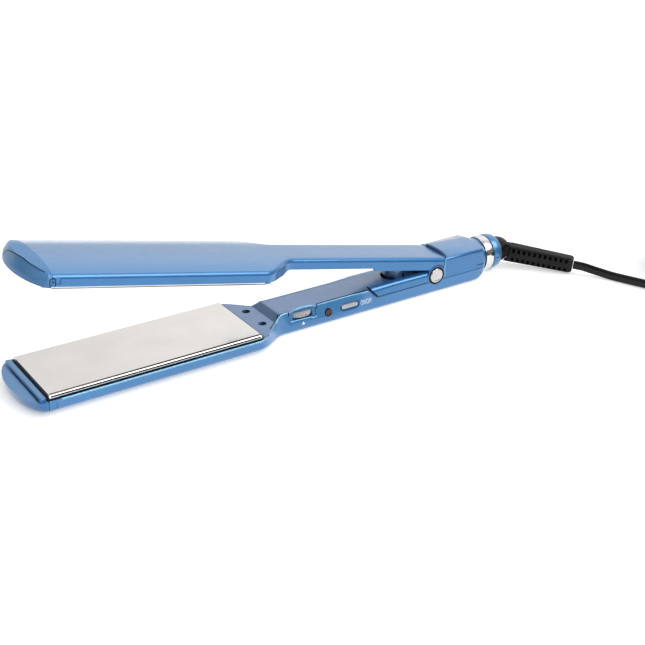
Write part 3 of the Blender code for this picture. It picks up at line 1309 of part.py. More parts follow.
# Cord: a lead along the table, a coil tied in four layers, and the plug beside it
BOOT_FRAME = Matrix.Translation((TILT_X, 0.0, AXIS_Z)) @ Matrix.Rotation(ROLL_ANGLE, 4, "X")
BOOT_FRAME = BOOT_FRAME @ Matrix.Rotation(-TILT_ANGLE, 4, "Z")
LEAD_START = BOOT_FRAME @ Vector((BOOT_LENGTH + FIT, 0.0, -BOOT_DROP))
LEAD_HEADING = BOOT_FRAME.to_3x3() @ Vector((1.0, 0.0, 0.0))
LEAD_ROUTE = [(13.1, -19.4), (17.3, -29.1), (22.2, -39.6), (30.4, -56.0)]  # on the table, in mm from the boot's end
COIL_ENTRY = Vector((LEAD_START.x + 38.7 * MM, LEAD_START.y - 73.6 * MM))
ENTRY_ANGLE = math.radians(204.5)
COIL_CENTRE = COIL_ENTRY - COIL_OUTER * Vector((math.cos(ENTRY_ANGLE), math.sin(ENTRY_ANGLE)))
COIL_Z = FLOOR_Z + COIL_LIFT + CORD_RADIUS
PLUG_Z = FLOOR_Z + PLUG_HEIGHT / 2 + CORD_LIFT


def on_coil(radius, turn, z):
    angle = ENTRY_ANGLE + turn
    return Vector((COIL_CENTRE.x + radius * math.cos(angle), COIL_CENTRE.y + radius * math.sin(angle), z))


def coil_points():
    total = COIL_LAYERS * COIL_TURNS
    points = []
    for k in range(round(total * COIL_POINTS) + 1):
        turns = k / COIL_POINTS
        phase = (turns / COIL_TURNS) % 2
        inward = (phase if phase <= 1 else 2 - phase) * COIL_TURNS * COIL_PITCH
        climb = sum(smooth((turns - COIL_TURNS * layer) * 2 + 0.5) for layer in range(1, COIL_LAYERS))
        points.append(on_coil(COIL_OUTER - inward, 2 * math.pi * turns, COIL_Z + COIL_PITCH * climb))
    top = points[-1].z
    turn = 2 * math.pi * total
    beside = COIL_OUTER + COIL_PITCH
    step = 2 * math.pi / COIL_POINTS
    for k in range(1, round(TAIL_OUT / step) + 1):
        share = smooth(k * step / TAIL_OUT)
        points.append(on_coil(COIL_OUTER + (beside - COIL_OUTER) * share, turn + k * step, top))
    turn += TAIL_OUT
    for k in range(1, round(TAIL_DOWN / step) + 1):
        share = smooth(k * step / TAIL_DOWN)
        radius = beside + (TAIL_RADIUS - beside) * share
        points.append(on_coil(radius, turn + k * step, top + (PLUG_Z - top) * share))
    heading = ENTRY_ANGLE + turn + TAIL_DOWN + math.pi / 2
    ahead = Vector((math.cos(heading), math.sin(heading), 0.0))
    points.append(points[-1] + 1.5 * CORD_DIAMETER * ahead)
    back = (points[0] - points[1]).normalized() * CORD_DIAMETER
    return [points[0] + Vector((back.x, back.y, 0.0))] + points, heading


def catmull(points, step):
    """A smooth line through points, read off at about one spacing."""
    guide = [2 * points[0] - points[1]] + points + [2 * points[-1] - points[-2]]
    found = [points[0]]
    for a, b, c, d in zip(guide, guide[1:], guide[2:], guide[3:]):
        count = max(1, round((c - b).length / step))
        for k in range(1, count + 1):
            t = k / count
            found.append(0.5 * (2 * b + (c - a) * t + (2 * a - 5 * b + 4 * c - d) * t * t
                                + (3 * b - a - 3 * c + d) * t**3))
    return found


def least_gap(points):
    """How near the coil's surface comes to itself, away from its own run."""
    fine = []
    for a, b in zip(points, points[1:]):
        fine += [a.lerp(b, k / 4) for k in range(4)]
    run = [0.0]
    for a, b in zip(fine, fine[1:]):
        run.append(run[-1] + (b - a).length)
    least = 1.0
    for i, a in enumerate(fine):
        for j in range(i + 1, len(fine)):
            if run[j] - run[i] > 4 * CORD_DIAMETER:
                least = min(least, (fine[j] - a).length_squared)
    return math.sqrt(least) - CORD_DIAMETER


def run_length(points):
    return sum((b - a).length for a, b in zip(points, points[1:]))


def ride(obj):
    """Hangs a piece of the cord on the strain relief without moving it."""
    obj.parent = TILT
    obj.matrix_parent_inverse = BOOT_FRAME.inverted()
    return obj


def cord():
    coil, heading = coil_points()
    lead = [LEAD_START, LEAD_START + CORD_DIAMETER * LEAD_HEADING]
    lead += [Vector((LEAD_START.x + x * MM, LEAD_START.y + y * MM, CORD_Z)) for x, y in LEAD_ROUTE]
    back = (coil[0] - coil[1]).normalized()
    lead += [coil[0] + (CORD_DIAMETER + FIT) * back, coil[0] + FIT * back]
    lead = lead[:1] + catmull(lead[1:-1], CORD_STEP) + lead[-1:]
    ride(tube("cord_lead", lead, CORD_RADIUS, 3, RUBBER))
    ride(tube("cord_coil", coil, CORD_RADIUS, 1, RUBBER))
    print("least gap of the coil to itself: %.2f mm" % (least_gap(coil) / MM))
    print("cord from boot to plug: %.3f m" % (run_length(lead) + run_length(coil)))
    return coil[-1], heading


def rounded_outline(x0, x1, z0, z1, corner, steps=4):
    points = []
    for x, z, start in ((x1, z1, 0.0), (x0, z1, 90.0), (x0, z0, 180.0), (x1, z0, 270.0)):
        cx = x - corner if x == x1 else x + corner
        cz = z - corner if z == z1 else z + corner
        for k in range(steps + 1):
            angle = math.radians(start + 90.0 * k / steps)
            points.append((cx + corner * math.cos(angle), cz + corner * math.sin(angle)))
    return points


def cord_tie():
    """A flat strap round all the turns, just ahead of where the coil begins."""
    inner = COIL_OUTER - COIL_TURNS * COIL_PITCH - CORD_RADIUS - RUN
    outer = COIL_OUTER + CORD_RADIUS + RUN
    low = FLOOR_Z + CORD_LIFT
    high = COIL_Z + (COIL_LAYERS - 1) * COIL_PITCH + CORD_RADIUS + RUN + TIE_THICK
    thick = TIE_THICK
    place = Matrix.Translation((COIL_CENTRE.x, COIL_CENTRE.y, 0.0))
    place = place @ Matrix.Rotation(ENTRY_ANGLE - math.pi / 4, 4, "Z") @ UPRIGHT
    outline = rounded_outline(inner - thick, outer + thick, low, high, CORD_RADIUS + thick)
    strap = ride(part(slab("strap", outline, TIE_WIDTH, place), "cord_tie", BLACK))
    outline = rounded_outline(inner, outer, low + thick, high - thick, CORD_RADIUS)
    hole = slab("strap_hole", outline, 2 * TIE_WIDTH, place)
    cut(strap, hole)
    hole.parent = TILT
    hole.matrix_parent_inverse = BOOT_FRAME.inverted()


def plug(end, heading):
    place = Matrix.Translation(end) @ Matrix.Rotation(heading, 4, "Z")
    start = FIT
    rings = []
    sleeve = CORD_DIAMETER + 2 * SLEEVE_WALL
    neck = PLUG_LENGTH * 0.35
    shapes = [(0.0, sleeve, sleeve, 0.45), (neck, sleeve * 1.2, sleeve * 1.1, 0.45)]
    shapes += [(neck * 1.35, PLUG_WIDTH * 0.85, PLUG_HEIGHT * 0.9, 0.35), (neck * 1.6, PLUG_WIDTH, PLUG_HEIGHT, 0.3)]
    shapes += [(PLUG_LENGTH - PLUG_EDGE, PLUG_WIDTH, PLUG_HEIGHT, 0.3)]
    shapes += [(PLUG_LENGTH, PLUG_WIDTH - 2 * PLUG_EDGE, PLUG_HEIGHT - 2 * PLUG_EDGE, 0.3)]
    for s, width, height, corner in shapes:
        rings.append(round_box(start + s, width, height, corner * min(width, height)))
    body = loft("plug", rings)
    body.data.transform(place)
    body = ride(part(body, "plug_body", RUBBER))
    face = start + PLUG_LENGTH
    for side, name, tall in ((-1, "plug_blade_narrow", BLADE_NARROW), (1, "plug_blade_wide", BLADE_WIDE)):
        y, half, sunk = side * BLADE_SPACING / 2, BLADE_THICK / 2, BLADE_SUNK
        blade = box(name, (face - sunk, y - half, -tall / 2), (face + BLADE_LENGTH, y + half, tall / 2), RUN, 2)
        blade.data.transform(place)
        ride(part(blade, name, BRASS))
        slot = box("blade_slot", (face - sunk - FIT, y - half - FIT, -tall / 2 - FIT),
                   (face + CUT, y + half + FIT, tall / 2 + FIT))
        slot.data.transform(place)
        cut(body, slot)
        slot.parent = TILT
        slot.matrix_parent_inverse = BOOT_FRAME.inverted()


plug(*cord())
cord_tie()
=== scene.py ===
import json
import math

import bmesh
import bpy
from mathutils import Matrix, Vector
from mathutils.bvhtree import BVHTree

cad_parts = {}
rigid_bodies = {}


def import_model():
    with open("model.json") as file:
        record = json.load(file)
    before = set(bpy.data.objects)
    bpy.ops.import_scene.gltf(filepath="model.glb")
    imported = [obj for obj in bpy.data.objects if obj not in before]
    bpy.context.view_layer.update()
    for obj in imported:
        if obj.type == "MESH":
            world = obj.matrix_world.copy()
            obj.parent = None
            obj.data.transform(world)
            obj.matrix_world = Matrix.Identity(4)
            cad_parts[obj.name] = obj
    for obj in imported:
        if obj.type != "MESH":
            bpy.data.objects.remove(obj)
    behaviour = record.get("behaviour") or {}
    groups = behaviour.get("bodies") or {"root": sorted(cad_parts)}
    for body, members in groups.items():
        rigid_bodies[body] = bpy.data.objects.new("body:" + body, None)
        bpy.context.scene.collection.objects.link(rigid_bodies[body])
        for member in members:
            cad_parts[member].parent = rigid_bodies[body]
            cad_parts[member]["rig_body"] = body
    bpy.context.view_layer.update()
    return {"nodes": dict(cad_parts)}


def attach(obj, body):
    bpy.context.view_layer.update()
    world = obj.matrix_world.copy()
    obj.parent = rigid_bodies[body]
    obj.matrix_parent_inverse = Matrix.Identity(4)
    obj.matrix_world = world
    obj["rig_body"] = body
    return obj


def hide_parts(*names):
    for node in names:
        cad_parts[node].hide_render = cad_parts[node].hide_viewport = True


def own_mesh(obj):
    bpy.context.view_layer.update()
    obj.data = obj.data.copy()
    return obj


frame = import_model()

MM = 0.001
# The part's own origin, the front edge of the plates where they meet, in the row frame
ORIGIN = Vector((-154.7351 * MM, 0.0, 12.0 * MM))
# How far the upper arm stands open at rest
OPEN = math.radians(12.79)


def at(x, y, z):
    """A point of the part's own layout, in millimetres, in the row frame."""
    return ORIGIN + Vector((x, y, z)) * MM


def body_of(node):
    return frame["nodes"][node]["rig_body"]


# Camera, as fitted to the photo: the lens in pixels, and the eye's place in millimetres from the aim
PICTURE_WIDTH, FOCAL_LENGTH = 645, 1250.27
SENSOR_WIDTH = 36.0
AZIMUTH, ELEVATION, ROLL = math.radians(-33.92), math.radians(26.80), math.radians(0.88)
AIM = (150.0, 0.0, 0.0)
EYE_RIGHT, EYE_UP, EYE_BACK = 25.96, -8.69, 720.92


def camera():
    side = Vector((math.cos(AZIMUTH), math.sin(AZIMUTH), 0.0))
    back = Vector((
        math.sin(AZIMUTH) * math.cos(ELEVATION),
        -math.cos(AZIMUTH) * math.cos(ELEVATION),
        math.sin(ELEVATION),
    ))
    up = back.cross(side)
    right = math.cos(ROLL) * side + math.sin(ROLL) * up
    over = -math.sin(ROLL) * side + math.cos(ROLL) * up
    data = bpy.data.cameras.new("camera")
    data.sensor_width = SENSOR_WIDTH
    data.lens = FOCAL_LENGTH / PICTURE_WIDTH * SENSOR_WIDTH
    data.clip_start = 0.01
    eye = bpy.data.objects.new("camera", data)
    eye.matrix_world = Matrix((right, over, back)).transposed().to_4x4()
    eye.matrix_world.translation = at(*AIM) + (EYE_RIGHT * right + EYE_UP * over + EYE_BACK * back) * MM
    bpy.context.scene.collection.objects.link(eye)
    bpy.context.scene.camera = eye
    bpy.context.scene.view_settings.view_transform = "Standard"


# Materials
class Finish:
    """A Principled material whose colour, gloss and relief come from textures in the piece's own space."""

    def __init__(self, name, **values):
        self.material = bpy.data.materials.new(name)
        self.material.use_nodes = True
        self.tree = self.material.node_tree
        self.shader = self.tree.nodes["Principled BSDF"]
        self.space = self.tree.nodes.new("ShaderNodeTexCoord").outputs["Object"]
        for key, value in values.items():
            self.shader.inputs[key.replace("_", " ").title().replace("Ior", "IOR")].default_value = value

    def add(self, kind, **values):
        node = self.tree.nodes.new(kind)
        for key, value in values.items():
            setattr(node, key, value)
        return node

    def link(self, start, end):
        self.tree.links.new(start, end)

    def stretched(self, scale):
        node = self.add("ShaderNodeMapping")
        node.inputs["Scale"].default_value = scale
        self.link(self.space, node.inputs["Vector"])
        return node.outputs["Vector"]

    def noise(self, size, detail=2.0, stretch=None):
        """Noise with spots of about one size, in millimetres."""
        node = self.add("ShaderNodeTexNoise")
        node.inputs["Scale"].default_value = 1.0 / (size * MM)
        node.inputs["Detail"].default_value = detail
        self.link(self.stretched(stretch) if stretch else self.space, node.inputs["Vector"])
        return node.outputs["Fac"]

    def flakes(self, size):
        """Small cells of about one size in millimetres, each with a value of its own."""
        node = self.add("ShaderNodeTexVoronoi")
        node.inputs["Scale"].default_value = 1.0 / (size * MM)
        self.link(self.space, node.inputs["Vector"])
        channel = self.add("ShaderNodeSeparateColor")
        self.link(node.outputs["Color"], channel.inputs["Color"])
        return channel.outputs["Red"]

    def faces(self, way):
        """How far a face looks one way, from the piece's own normals."""
        node = self.add("ShaderNodeVectorMath", operation="DOT_PRODUCT")
        node.inputs[1].default_value = way
        self.link(self.add("ShaderNodeTexCoord").outputs["Normal"], node.inputs[0])
        return node.outputs["Value"]

    def ramp(self, value, *stops):
        """Colours, or greys given as one number, against a texture's value."""
        node = self.add("ShaderNodeValToRGB")
        ramp = node.color_ramp
        while len(ramp.elements) < len(stops):
            ramp.elements.new(0.5)
        for element, (place, colour) in zip(ramp.elements, stops):
            red, green, blue = colour if len(colour) == 3 else colour * 3
            element.position = place
            element.color = (red, green, blue, 1.0)
        self.link(value, node.inputs["Fac"])
        return node.outputs["Color"]

    def spread(self, value, first, second):
        """From one colour or grey to another, over the middle of a noise's range."""
        return self.ramp(value, (0.3, first), (0.7, second))

    def multiplied(self, first, second):
        node = self.add("ShaderNodeMix", data_type="RGBA", blend_type="MULTIPLY")
        node.inputs["Factor"].default_value = 1.0
        self.link(first, node.inputs["A"])
        self.link(second, node.inputs["B"])
        return node.outputs["Result"]

    def colour(self, value):
        self.link(value, self.shader.inputs["Base Color"])

    def gloss(self, value, low, high):
        self.link(self.spread(value, (low,), (high,)), self.shader.inputs["Roughness"])

    def relief(self, value, height):
        """Bumps of a height in millimetres."""
        node = self.add("ShaderNodeBump")
        node.inputs["Strength"].default_value = 1.0
        node.inputs["Distance"].default_value = height * MM
        self.link(value, node.inputs["Height"])
        self.link(node.outputs["Normal"], self.shader.inputs["Normal"])


def metallic_paint(name, dark, light, rough, metal, sheen, shade_facing=None, tint=None, coat=1.0):
    """Flake paint with a clear coat; faces that look one way can be darkened by a tint, as painted shade."""
    paint = Finish(
        name, metallic=metal, coat_weight=coat, coat_roughness=0.14, coat_ior=1.5,
        specular_ior_level=0.5 * coat, sheen_weight=sheen, sheen_roughness=0.3,
    )
    drift = paint.ramp(paint.noise(size=30.0), (0.35, dark), (0.65, light))
    spark = paint.ramp(paint.flakes(size=0.2), (0.0, (0.94,)), (0.85, (0.99,)), (1.0, (1.0,)))
    colour = paint.multiplied(drift, spark)
    # Painted shade: faces that look the given way take the tint, a darker blue.
    if shade_facing:
        side_shade = paint.ramp(paint.faces(shade_facing), (0.3, (1.0,)), (0.55, tint))
        colour = paint.multiplied(colour, side_shade)
    paint.colour(colour)
    paint.gloss(paint.noise(size=4.0), rough - 0.03, rough + 0.03)
    paint.relief(paint.noise(size=1.4), height=0.002)
    return paint.material


def polished_plate():
    """Bare metal, polished along the plate's length."""
    plate = Finish("polished_plate", metallic=1.0)
    plate.colour(plate.spread(plate.noise(size=18.0), (0.72, 0.695, 0.668), (0.765, 0.74, 0.712)))
    plate.gloss(plate.noise(size=0.6, detail=3.0, stretch=(0.08, 1.0, 1.0)), 0.10, 0.20)
    plate.relief(plate.noise(size=0.5, stretch=(0.05, 1.0, 1.0)), height=0.0006)
    return plate.material


def bright_metal(name, tint, rough):
    metal = Finish(name, metallic=1.0)
    paler = tuple(min(1.0, 1.06 * c) for c in tint)
    metal.colour(metal.spread(metal.noise(size=6.0), tint, paler))
    metal.gloss(metal.noise(size=0.8), *rough)
    metal.relief(metal.noise(size=1.1), height=0.002)
    return metal.material


def moulding(name, dark, light, rough, grain, height, **values):
    """Plastic, rubber, ceramic and the like, with a moulded grain."""
    plastic = Finish(name, **values)
    plastic.colour(plastic.spread(plastic.noise(size=5.0), dark, light))
    plastic.gloss(plastic.noise(size=2.0), *rough)
    plastic.relief(plastic.noise(size=grain, detail=3.0), height)
    return plastic.material


BLUE = metallic_paint(
    "satin_blue_paint", (0.040, 0.200, 0.450), (0.046, 0.214, 0.478), rough=0.34, metal=0.5, sheen=0.25
)
# Painted shade: the housing blue, with faces that look to the near side darkened by the tint.
BLUE_WITH_SIDE_SHADE = metallic_paint(
    "blue_paint_with_side_shade", (0.036, 0.198, 0.450), (0.042, 0.212, 0.478), rough=0.34, metal=0.5, sheen=0.2,
    shade_facing=(0.0, -1.0, 0.0), tint=(0.30, 0.78, 0.88),
)
# Painted shade: the housing blue, with faces that look forward and to the near side darkened by the tint.
NOSE_BLUE_WITH_SIDE_SHADE = metallic_paint(
    "nose_side_shaded_blue", (0.036, 0.198, 0.450), (0.042, 0.212, 0.478), rough=0.34, metal=0.5, sheen=0.2,
    shade_facing=(-0.77, -0.64, 0.0), tint=(0.35, 0.70, 0.80),
)
TIP = metallic_paint(
    "nose_blue_paint", (0.072, 0.208, 0.415), (0.080, 0.220, 0.440), rough=0.42, metal=0.15, sheen=0.0,
    coat=0.26,
)
# Painted highlight: a paler blue for thin beads along rounded edges, in place of the lamps' highlight on
# them.
HIGHLIGHT_BLUE = metallic_paint(
    "painted_highlight_blue", (0.16, 0.44, 0.68), (0.19, 0.48, 0.72), rough=0.26, metal=0.4, sheen=0.2
)
# Painted shade: the cover blue, with faces that look forward, such as the ramp, darkened by the tint.
COVER_WITH_PAINTED_SHADE = metallic_paint(
    "cover_blue_paint", (0.085, 0.20, 0.41), (0.10, 0.225, 0.445), rough=0.42, metal=0.3, sheen=0.3,
    shade_facing=(-1.0, 0.0, 0.0), tint=(0.03, 0.36, 0.52),
)
PLATE = polished_plate()
CHROME = bright_metal("chrome", (0.70, 0.685, 0.66), rough=(0.05, 0.10))
SCREW = bright_metal("brushed_head", (0.56, 0.55, 0.54), rough=(0.2, 0.3))
STEEL = bright_metal("spring_steel", (0.58, 0.57, 0.55), rough=(0.22, 0.32))
BRASS = bright_metal("brass", (0.72, 0.55, 0.26), rough=(0.2, 0.3))
BLACK = moulding(
    "black_moulding", (0.004, 0.004, 0.0045), (0.007, 0.0065, 0.0065), rough=(0.26, 0.36), grain=0.5,
    height=0.004, specular_ior_level=0.2,
)
RUBBER = moulding(
    "black_rubber", (0.006, 0.006, 0.007), (0.010, 0.010, 0.011), rough=(0.36, 0.5), grain=0.35,
    height=0.008, specular_ior_level=0.18,
)
JACKET = moulding(
    "cord_jacket", (0.004, 0.004, 0.0045), (0.007, 0.007, 0.0075), rough=(0.2, 0.3), grain=0.6,
    height=0.005, specular_ior_level=0.25,
)
CERAMIC = moulding(
    "white_ceramic", (0.74, 0.73, 0.69), (0.82, 0.81, 0.78), rough=(0.5, 0.65), grain=0.4, height=0.01
)
MICA = moulding(
    "mica_pad", (0.40, 0.33, 0.20), (0.58, 0.50, 0.34), rough=(0.35, 0.55), grain=1.5, height=0.02
)
BOARD = moulding(
    "board_green", (0.012, 0.10, 0.035), (0.02, 0.15, 0.05), rough=(0.3, 0.45), grain=0.8, height=0.01
)
LENS = moulding(
    "red_lens", (0.042, 0.006, 0.005), (0.070, 0.010, 0.008), rough=(0.12, 0.2), grain=0.5, height=0.004,
    coat_weight=0.2,
)
WHEEL = moulding(
    "wheel_plastic", (0.42, 0.41, 0.42), (0.50, 0.49, 0.50), rough=(0.32, 0.45), grain=0.5, height=0.006
)
KEY = moulding(
    "button_plastic", (0.40, 0.42, 0.475), (0.47, 0.49, 0.545), rough=(0.25, 0.36), grain=0.6, height=0.004
)
PRINT = moulding(
    "white_print", (0.72, 0.78, 0.84), (0.84, 0.88, 0.92), rough=(0.5, 0.6), grain=0.3, height=0.004
)
# Painted reflection: a dark matt finish for lines along the polished plate's edge and bevel.
DARK_PLATE_REFLECTION = moulding(
    "painted_plate_reflection", (0.012, 0.010, 0.009), (0.020, 0.017, 0.015), rough=(0.5, 0.6), grain=0.5, height=0.002,
    specular_ior_level=0.1,
)
SHADE = moulding(
    "shaded_blue", (0.012, 0.060, 0.165), (0.016, 0.072, 0.190), rough=(0.4, 0.5), grain=0.6, height=0.002
)
SEAM = moulding(
    "seam_shadow", (0.006, 0.016, 0.034), (0.010, 0.024, 0.048), rough=(0.5, 0.6), grain=0.3, height=0.002,
    specular_ior_level=0.1,
)

# Pieces that stand for CAD nodes; angles between faces that count as flat, as an edge and as a crease
FLAT_ANGLE = math.radians(0.5)
EDGE_ANGLE = math.radians(35.0)
CREASE_ANGLE = math.radians(38.0)
WELD = 0.002 * MM
ROUND_STEPS = 96


def welded(node):
    """A CAD node's shape with its split corners joined and its thin leftover faces gone."""
    mesh = frame["nodes"][node].data
    bm = bmesh.new()
    corners = [bm.verts.new(v.co) for v in mesh.vertices]
    for face in mesh.polygons:
        bm.faces.new([corners[i] for i in face.vertices])
    bmesh.ops.remove_doubles(bm, verts=bm.verts, dist=WELD)
    bmesh.ops.dissolve_degenerate(bm, edges=bm.edges, dist=WELD)
    return bm


def settled(name, bm, material, crease=CREASE_ANGLE):
    """A smooth object from a bmesh, sharp where its faces turn by more than the crease."""
    for face in bm.faces:
        face.smooth = True
    for edge in bm.edges:
        edge.smooth = len(edge.link_faces) == 2 and edge.calc_face_angle() < crease
    mesh = bpy.data.meshes.new(name)
    bm.to_mesh(mesh)
    bm.free()
    mesh.materials.append(material)
    obj = bpy.data.objects.new(name, mesh)
    bpy.context.scene.collection.objects.link(obj)
    return obj


def on_body(obj, body, slot, *nodes):
    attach(obj, body)
    if nodes:
        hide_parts(*nodes)
    return obj


def eased(bm, width):
    """Bevels a shape's edges by a width in millimetres."""
    bmesh.ops.dissolve_limit(bm, angle_limit=FLAT_ANGLE, verts=bm.verts, edges=bm.edges)
    edges = [e for e in bm.edges if len(e.link_faces) == 2 and e.calc_face_angle() > EDGE_ANGLE]
    bmesh.ops.bevel(
        bm, geom=edges, offset=width * MM, segments=2, profile=0.6, affect="EDGES", clamp_overlap=True
    )


def dressed(node, material, slot, bevel=0.0, shift=None, soft=False):
    """A node's shape in place of the node; a soft one leaves its normals as they are."""
    bm = welded(node)
    if shift:
        shift(bm)
    if bevel:
        eased(bm, bevel)
    obj = settled(node + "_skin", bm, material)
    if not soft:
        weights = obj.modifiers.new("normals", "WEIGHTED_NORMAL")
        weights.keep_sharp = True
    return on_body(obj, body_of(node), slot, node)


def meets_housing(bm):
    """Carries the upper cap's rear rim up to the housing, so that no gap shows on top."""
    gap, band = 0.29 * MM, 0.05 * MM
    crown, rim = at(0.0, 0.0, 64.5).z, at(0.0, 0.0, 62.0).z
    along = Vector((math.cos(OPEN), 0.0, -math.sin(OPEN)))
    rear = max(v.co.dot(along) for v in bm.verts if v.co.z > crown)
    for v in bm.verts:
        if abs(v.co.dot(along) - rear) < band and v.co.z > rim:
            v.co += gap * along


def thinner(bm):
    """Lifts a control's lower face, which leaves a dark gap under it."""
    gap = 0.75 * MM
    low, high = min(v.co.z for v in bm.verts), max(v.co.z for v in bm.verts)
    for v in bm.verts:
        v.co.z = high - (high - v.co.z) * (1 - gap / (high - low))


def slimmer(bm):
    """Draws the button's long edges together."""
    share = 0.84
    middle = (min(v.co.z for v in bm.verts) + max(v.co.z for v in bm.verts)) / 2
    for v in bm.verts:
        v.co.z = middle + share * (v.co.z - middle)


def far_cheek(bm):
    """Tapers the far cheek's front down to the cover's level, as nothing shows over the cover's far edge."""
    everything = bm.verts[:] + bm.edges[:] + bm.faces[:]
    bmesh.ops.bisect_plane(bm, geom=everything, plane_co=at(228.0, 0.0, 0.0), plane_no=(1, 0, 0))
    front_end, inner_side = at(229.0, 0.0, 0.0).x, 9.0 * MM
    foot, top = at(0.0, 0.0, -0.115).z, at(0.0, 0.0, 2.891).z
    drop = 2.1 * MM
    for v in bm.verts:
        if v.co.x < front_end and v.co.y > inner_side and v.co.z > foot:
            v.co.z -= drop * (v.co.z - foot) / (top - foot)


def skins():
    dressed("lower_housing", BLUE, "satin_blue_paint")
    dressed("upper_housing", BLUE_WITH_SIDE_SHADE, "satin_blue_paint")
    dressed("lower_nose_cap", NOSE_BLUE_WITH_SIDE_SHADE, "satin_blue_paint")
    dressed("rear_cover", BLUE_WITH_SIDE_SHADE, "satin_blue_paint", shift=far_cheek, soft=True)
    dressed("upper_nose_cap", TIP, "satin_blue_paint", shift=meets_housing)
    for node in ("handle_cover", "upper_inner_cover"):
        dressed(node, COVER_WITH_PAINTED_SHADE, "cover_blue_paint")
    for node in ("lower_plate", "upper_plate"):
        dressed(node, PLATE, "polished_plate", bevel=0.2)
    dressed("tilt_pin", CHROME, "chrome")
    for node in ("swivel_dome", "lower_plate_tray", "upper_plate_tray", "cover_screw_near", "cover_screw_far",
                 "upper_screw_near", "upper_screw_far", "cord_tie"):
        dressed(node, BLACK, "black_moulding")
    for node in ("strain_relief", "plug_body"):
        dressed(node, RUBBER, "black_rubber")
    for node in ("plug_blade_narrow", "plug_blade_wide"):
        dressed(node, BRASS, "brass")
    dressed("temperature_dial", WHEEL, "black_moulding", shift=thinner)
    dressed("power_button", KEY, "satin_blue_paint", shift=slimmer)
    dressed("indicator_lens", LENS, "red_lens")
    spring = dressed("opening_spring", STEEL, "spring_steel")
    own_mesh(spring)


def turned(name, rows, centre, axis, material, closed=False):
    """A round piece from (place along the axis, radius) pairs in millimetres; a closed one is a ring."""
    bm = bmesh.new()
    turn = Vector((1.0, 0.0, 0.0)).rotation_difference(Vector(axis)).to_matrix()
    rings = []
    for along, radius in rows:
        count = ROUND_STEPS if radius else 1
        angles = [2 * math.pi * k / ROUND_STEPS for k in range(count)]
        spots = [Vector((along, radius * math.cos(a), radius * math.sin(a))) for a in angles]
        rings.append([bm.verts.new(at(*(Vector(centre) + turn @ spot))) for spot in spots])
    for first, second in zip(rings, rings[1:] + rings[:1] if closed else rings[1:]):
        for k in range(ROUND_STEPS):
            n = (k + 1) % ROUND_STEPS
            start = [first[k % len(first)], first[n % len(first)]]
            end = [second[n % len(second)], second[k % len(second)]]
            bm.faces.new(list(dict.fromkeys(start + end)))
    bmesh.ops.recalc_face_normals(bm, faces=bm.faces)
    return settled(name, bm, material)


def tail_pieces():
    """The chrome collar and the rounded ring behind it."""
    body, ahead = body_of("chrome_collar"), (1, 0, 0)
    rows = [(0.0, 9.1), (0.0, 10.85), (0.12, 11.15), (0.3, 11.32), (0.6, 11.4),
            (5.4, 11.4), (5.7, 11.32), (5.88, 11.15), (6.0, 10.85), (6.0, 9.1)]
    collar = turned("collar", rows, (297.9, 0.0, -0.6), ahead, CHROME, closed=True)
    on_body(collar, body, "chrome", "chrome_collar")
    rows = [(0.0, 9.1), (0.0, 11.2), (0.06, 11.34), (0.2, 11.4)]
    for k in range(13):
        share = k / 12
        rows.append((2.4 + 4.5 * share, 9.7 + 1.7 * math.sqrt(1 - share**2)))
    rows.append((6.9, 9.1))
    ring = turned("tail_ring", rows, (304.2, 0.0, -0.6), ahead, BLUE, closed=True)
    on_body(ring, body, "satin_blue_paint", "end_ring")


def pivot_pieces():
    """The dished head on each side of the hinge, with a thin black ring round it that paints in the shadow of
    the gap.
    """
    head = [(0.0, 0.0), (0.0, 1.2), (3.7, 1.2), (3.7, 4.6), (4.45, 4.6), (4.7, 4.52), (4.9, 4.35),
            (5.02, 4.1), (5.05, 3.85), (5.0, 3.6), (4.86, 3.3), (4.74, 2.7), (4.68, 1.6), (4.66, 0.0)]
    # Painted shadow: a black ring in the recess round the head, where the gap is in shade.
    shade_ring = [(3.45, 4.68), (4.6, 4.68), (4.68, 4.76), (4.68, 5.6),
              (4.6, 5.7), (4.33, 5.7), (4.33, 5.24), (3.45, 5.24)]
    for side, word in ((-1, "near"), (1, "far")):
        node = "pivot_screw_" + word
        body = body_of(node)
        place, axis = (255.6, 9.2 * side, 0.0), (0, side, 0)
        on_body(turned("pivot_head_" + word, head, place, axis, SCREW), body, "chrome", node)
        ring = turned("pivot_shade_ring_" + word, shade_ring, place, axis, BLACK, closed=True)
        on_body(ring, body, "black_moulding")


# Lines and tubes
TUBE_CREASE = math.radians(60.0)


def catmull(points, step):
    """A smooth line through points, read off at about one spacing."""
    guide = [2 * points[0] - points[1]] + points + [2 * points[-1] - points[-2]]
    found = [points[0]]
    for a, b, c, d in zip(guide, guide[1:], guide[2:], guide[3:]):
        count = max(1, round((c - b).length / step))
        for k in range(1, count + 1):
            t = k / count
            found.append(0.5 * (2 * b + (c - a) * t + (2 * a - 5 * b + 4 * c - d) * t * t
                                + (3 * b - a - 3 * c + d) * t**3))
    return found


def heading(line, i):
    """The way that a line runs at one of its points."""
    return (line[min(i + 1, len(line) - 1)] - line[max(i - 1, 0)]).normalized()


def tube(name, rows, material):
    """A smooth object through rows of points that go round a line, closed at both ends."""
    bm = bmesh.new()
    rings = [[bm.verts.new(point) for point in row] for row in rows]
    for first, second in zip(rings, rings[1:]):
        for k in range(len(first)):
            n = (k + 1) % len(first)
            bm.faces.new((first[k], first[n], second[n], second[k]))
    bm.faces.new(rings[0][::-1])
    bm.faces.new(rings[-1])
    bmesh.ops.recalc_face_normals(bm, faces=bm.faces)
    return settled(name, bm, material, TUBE_CREASE)


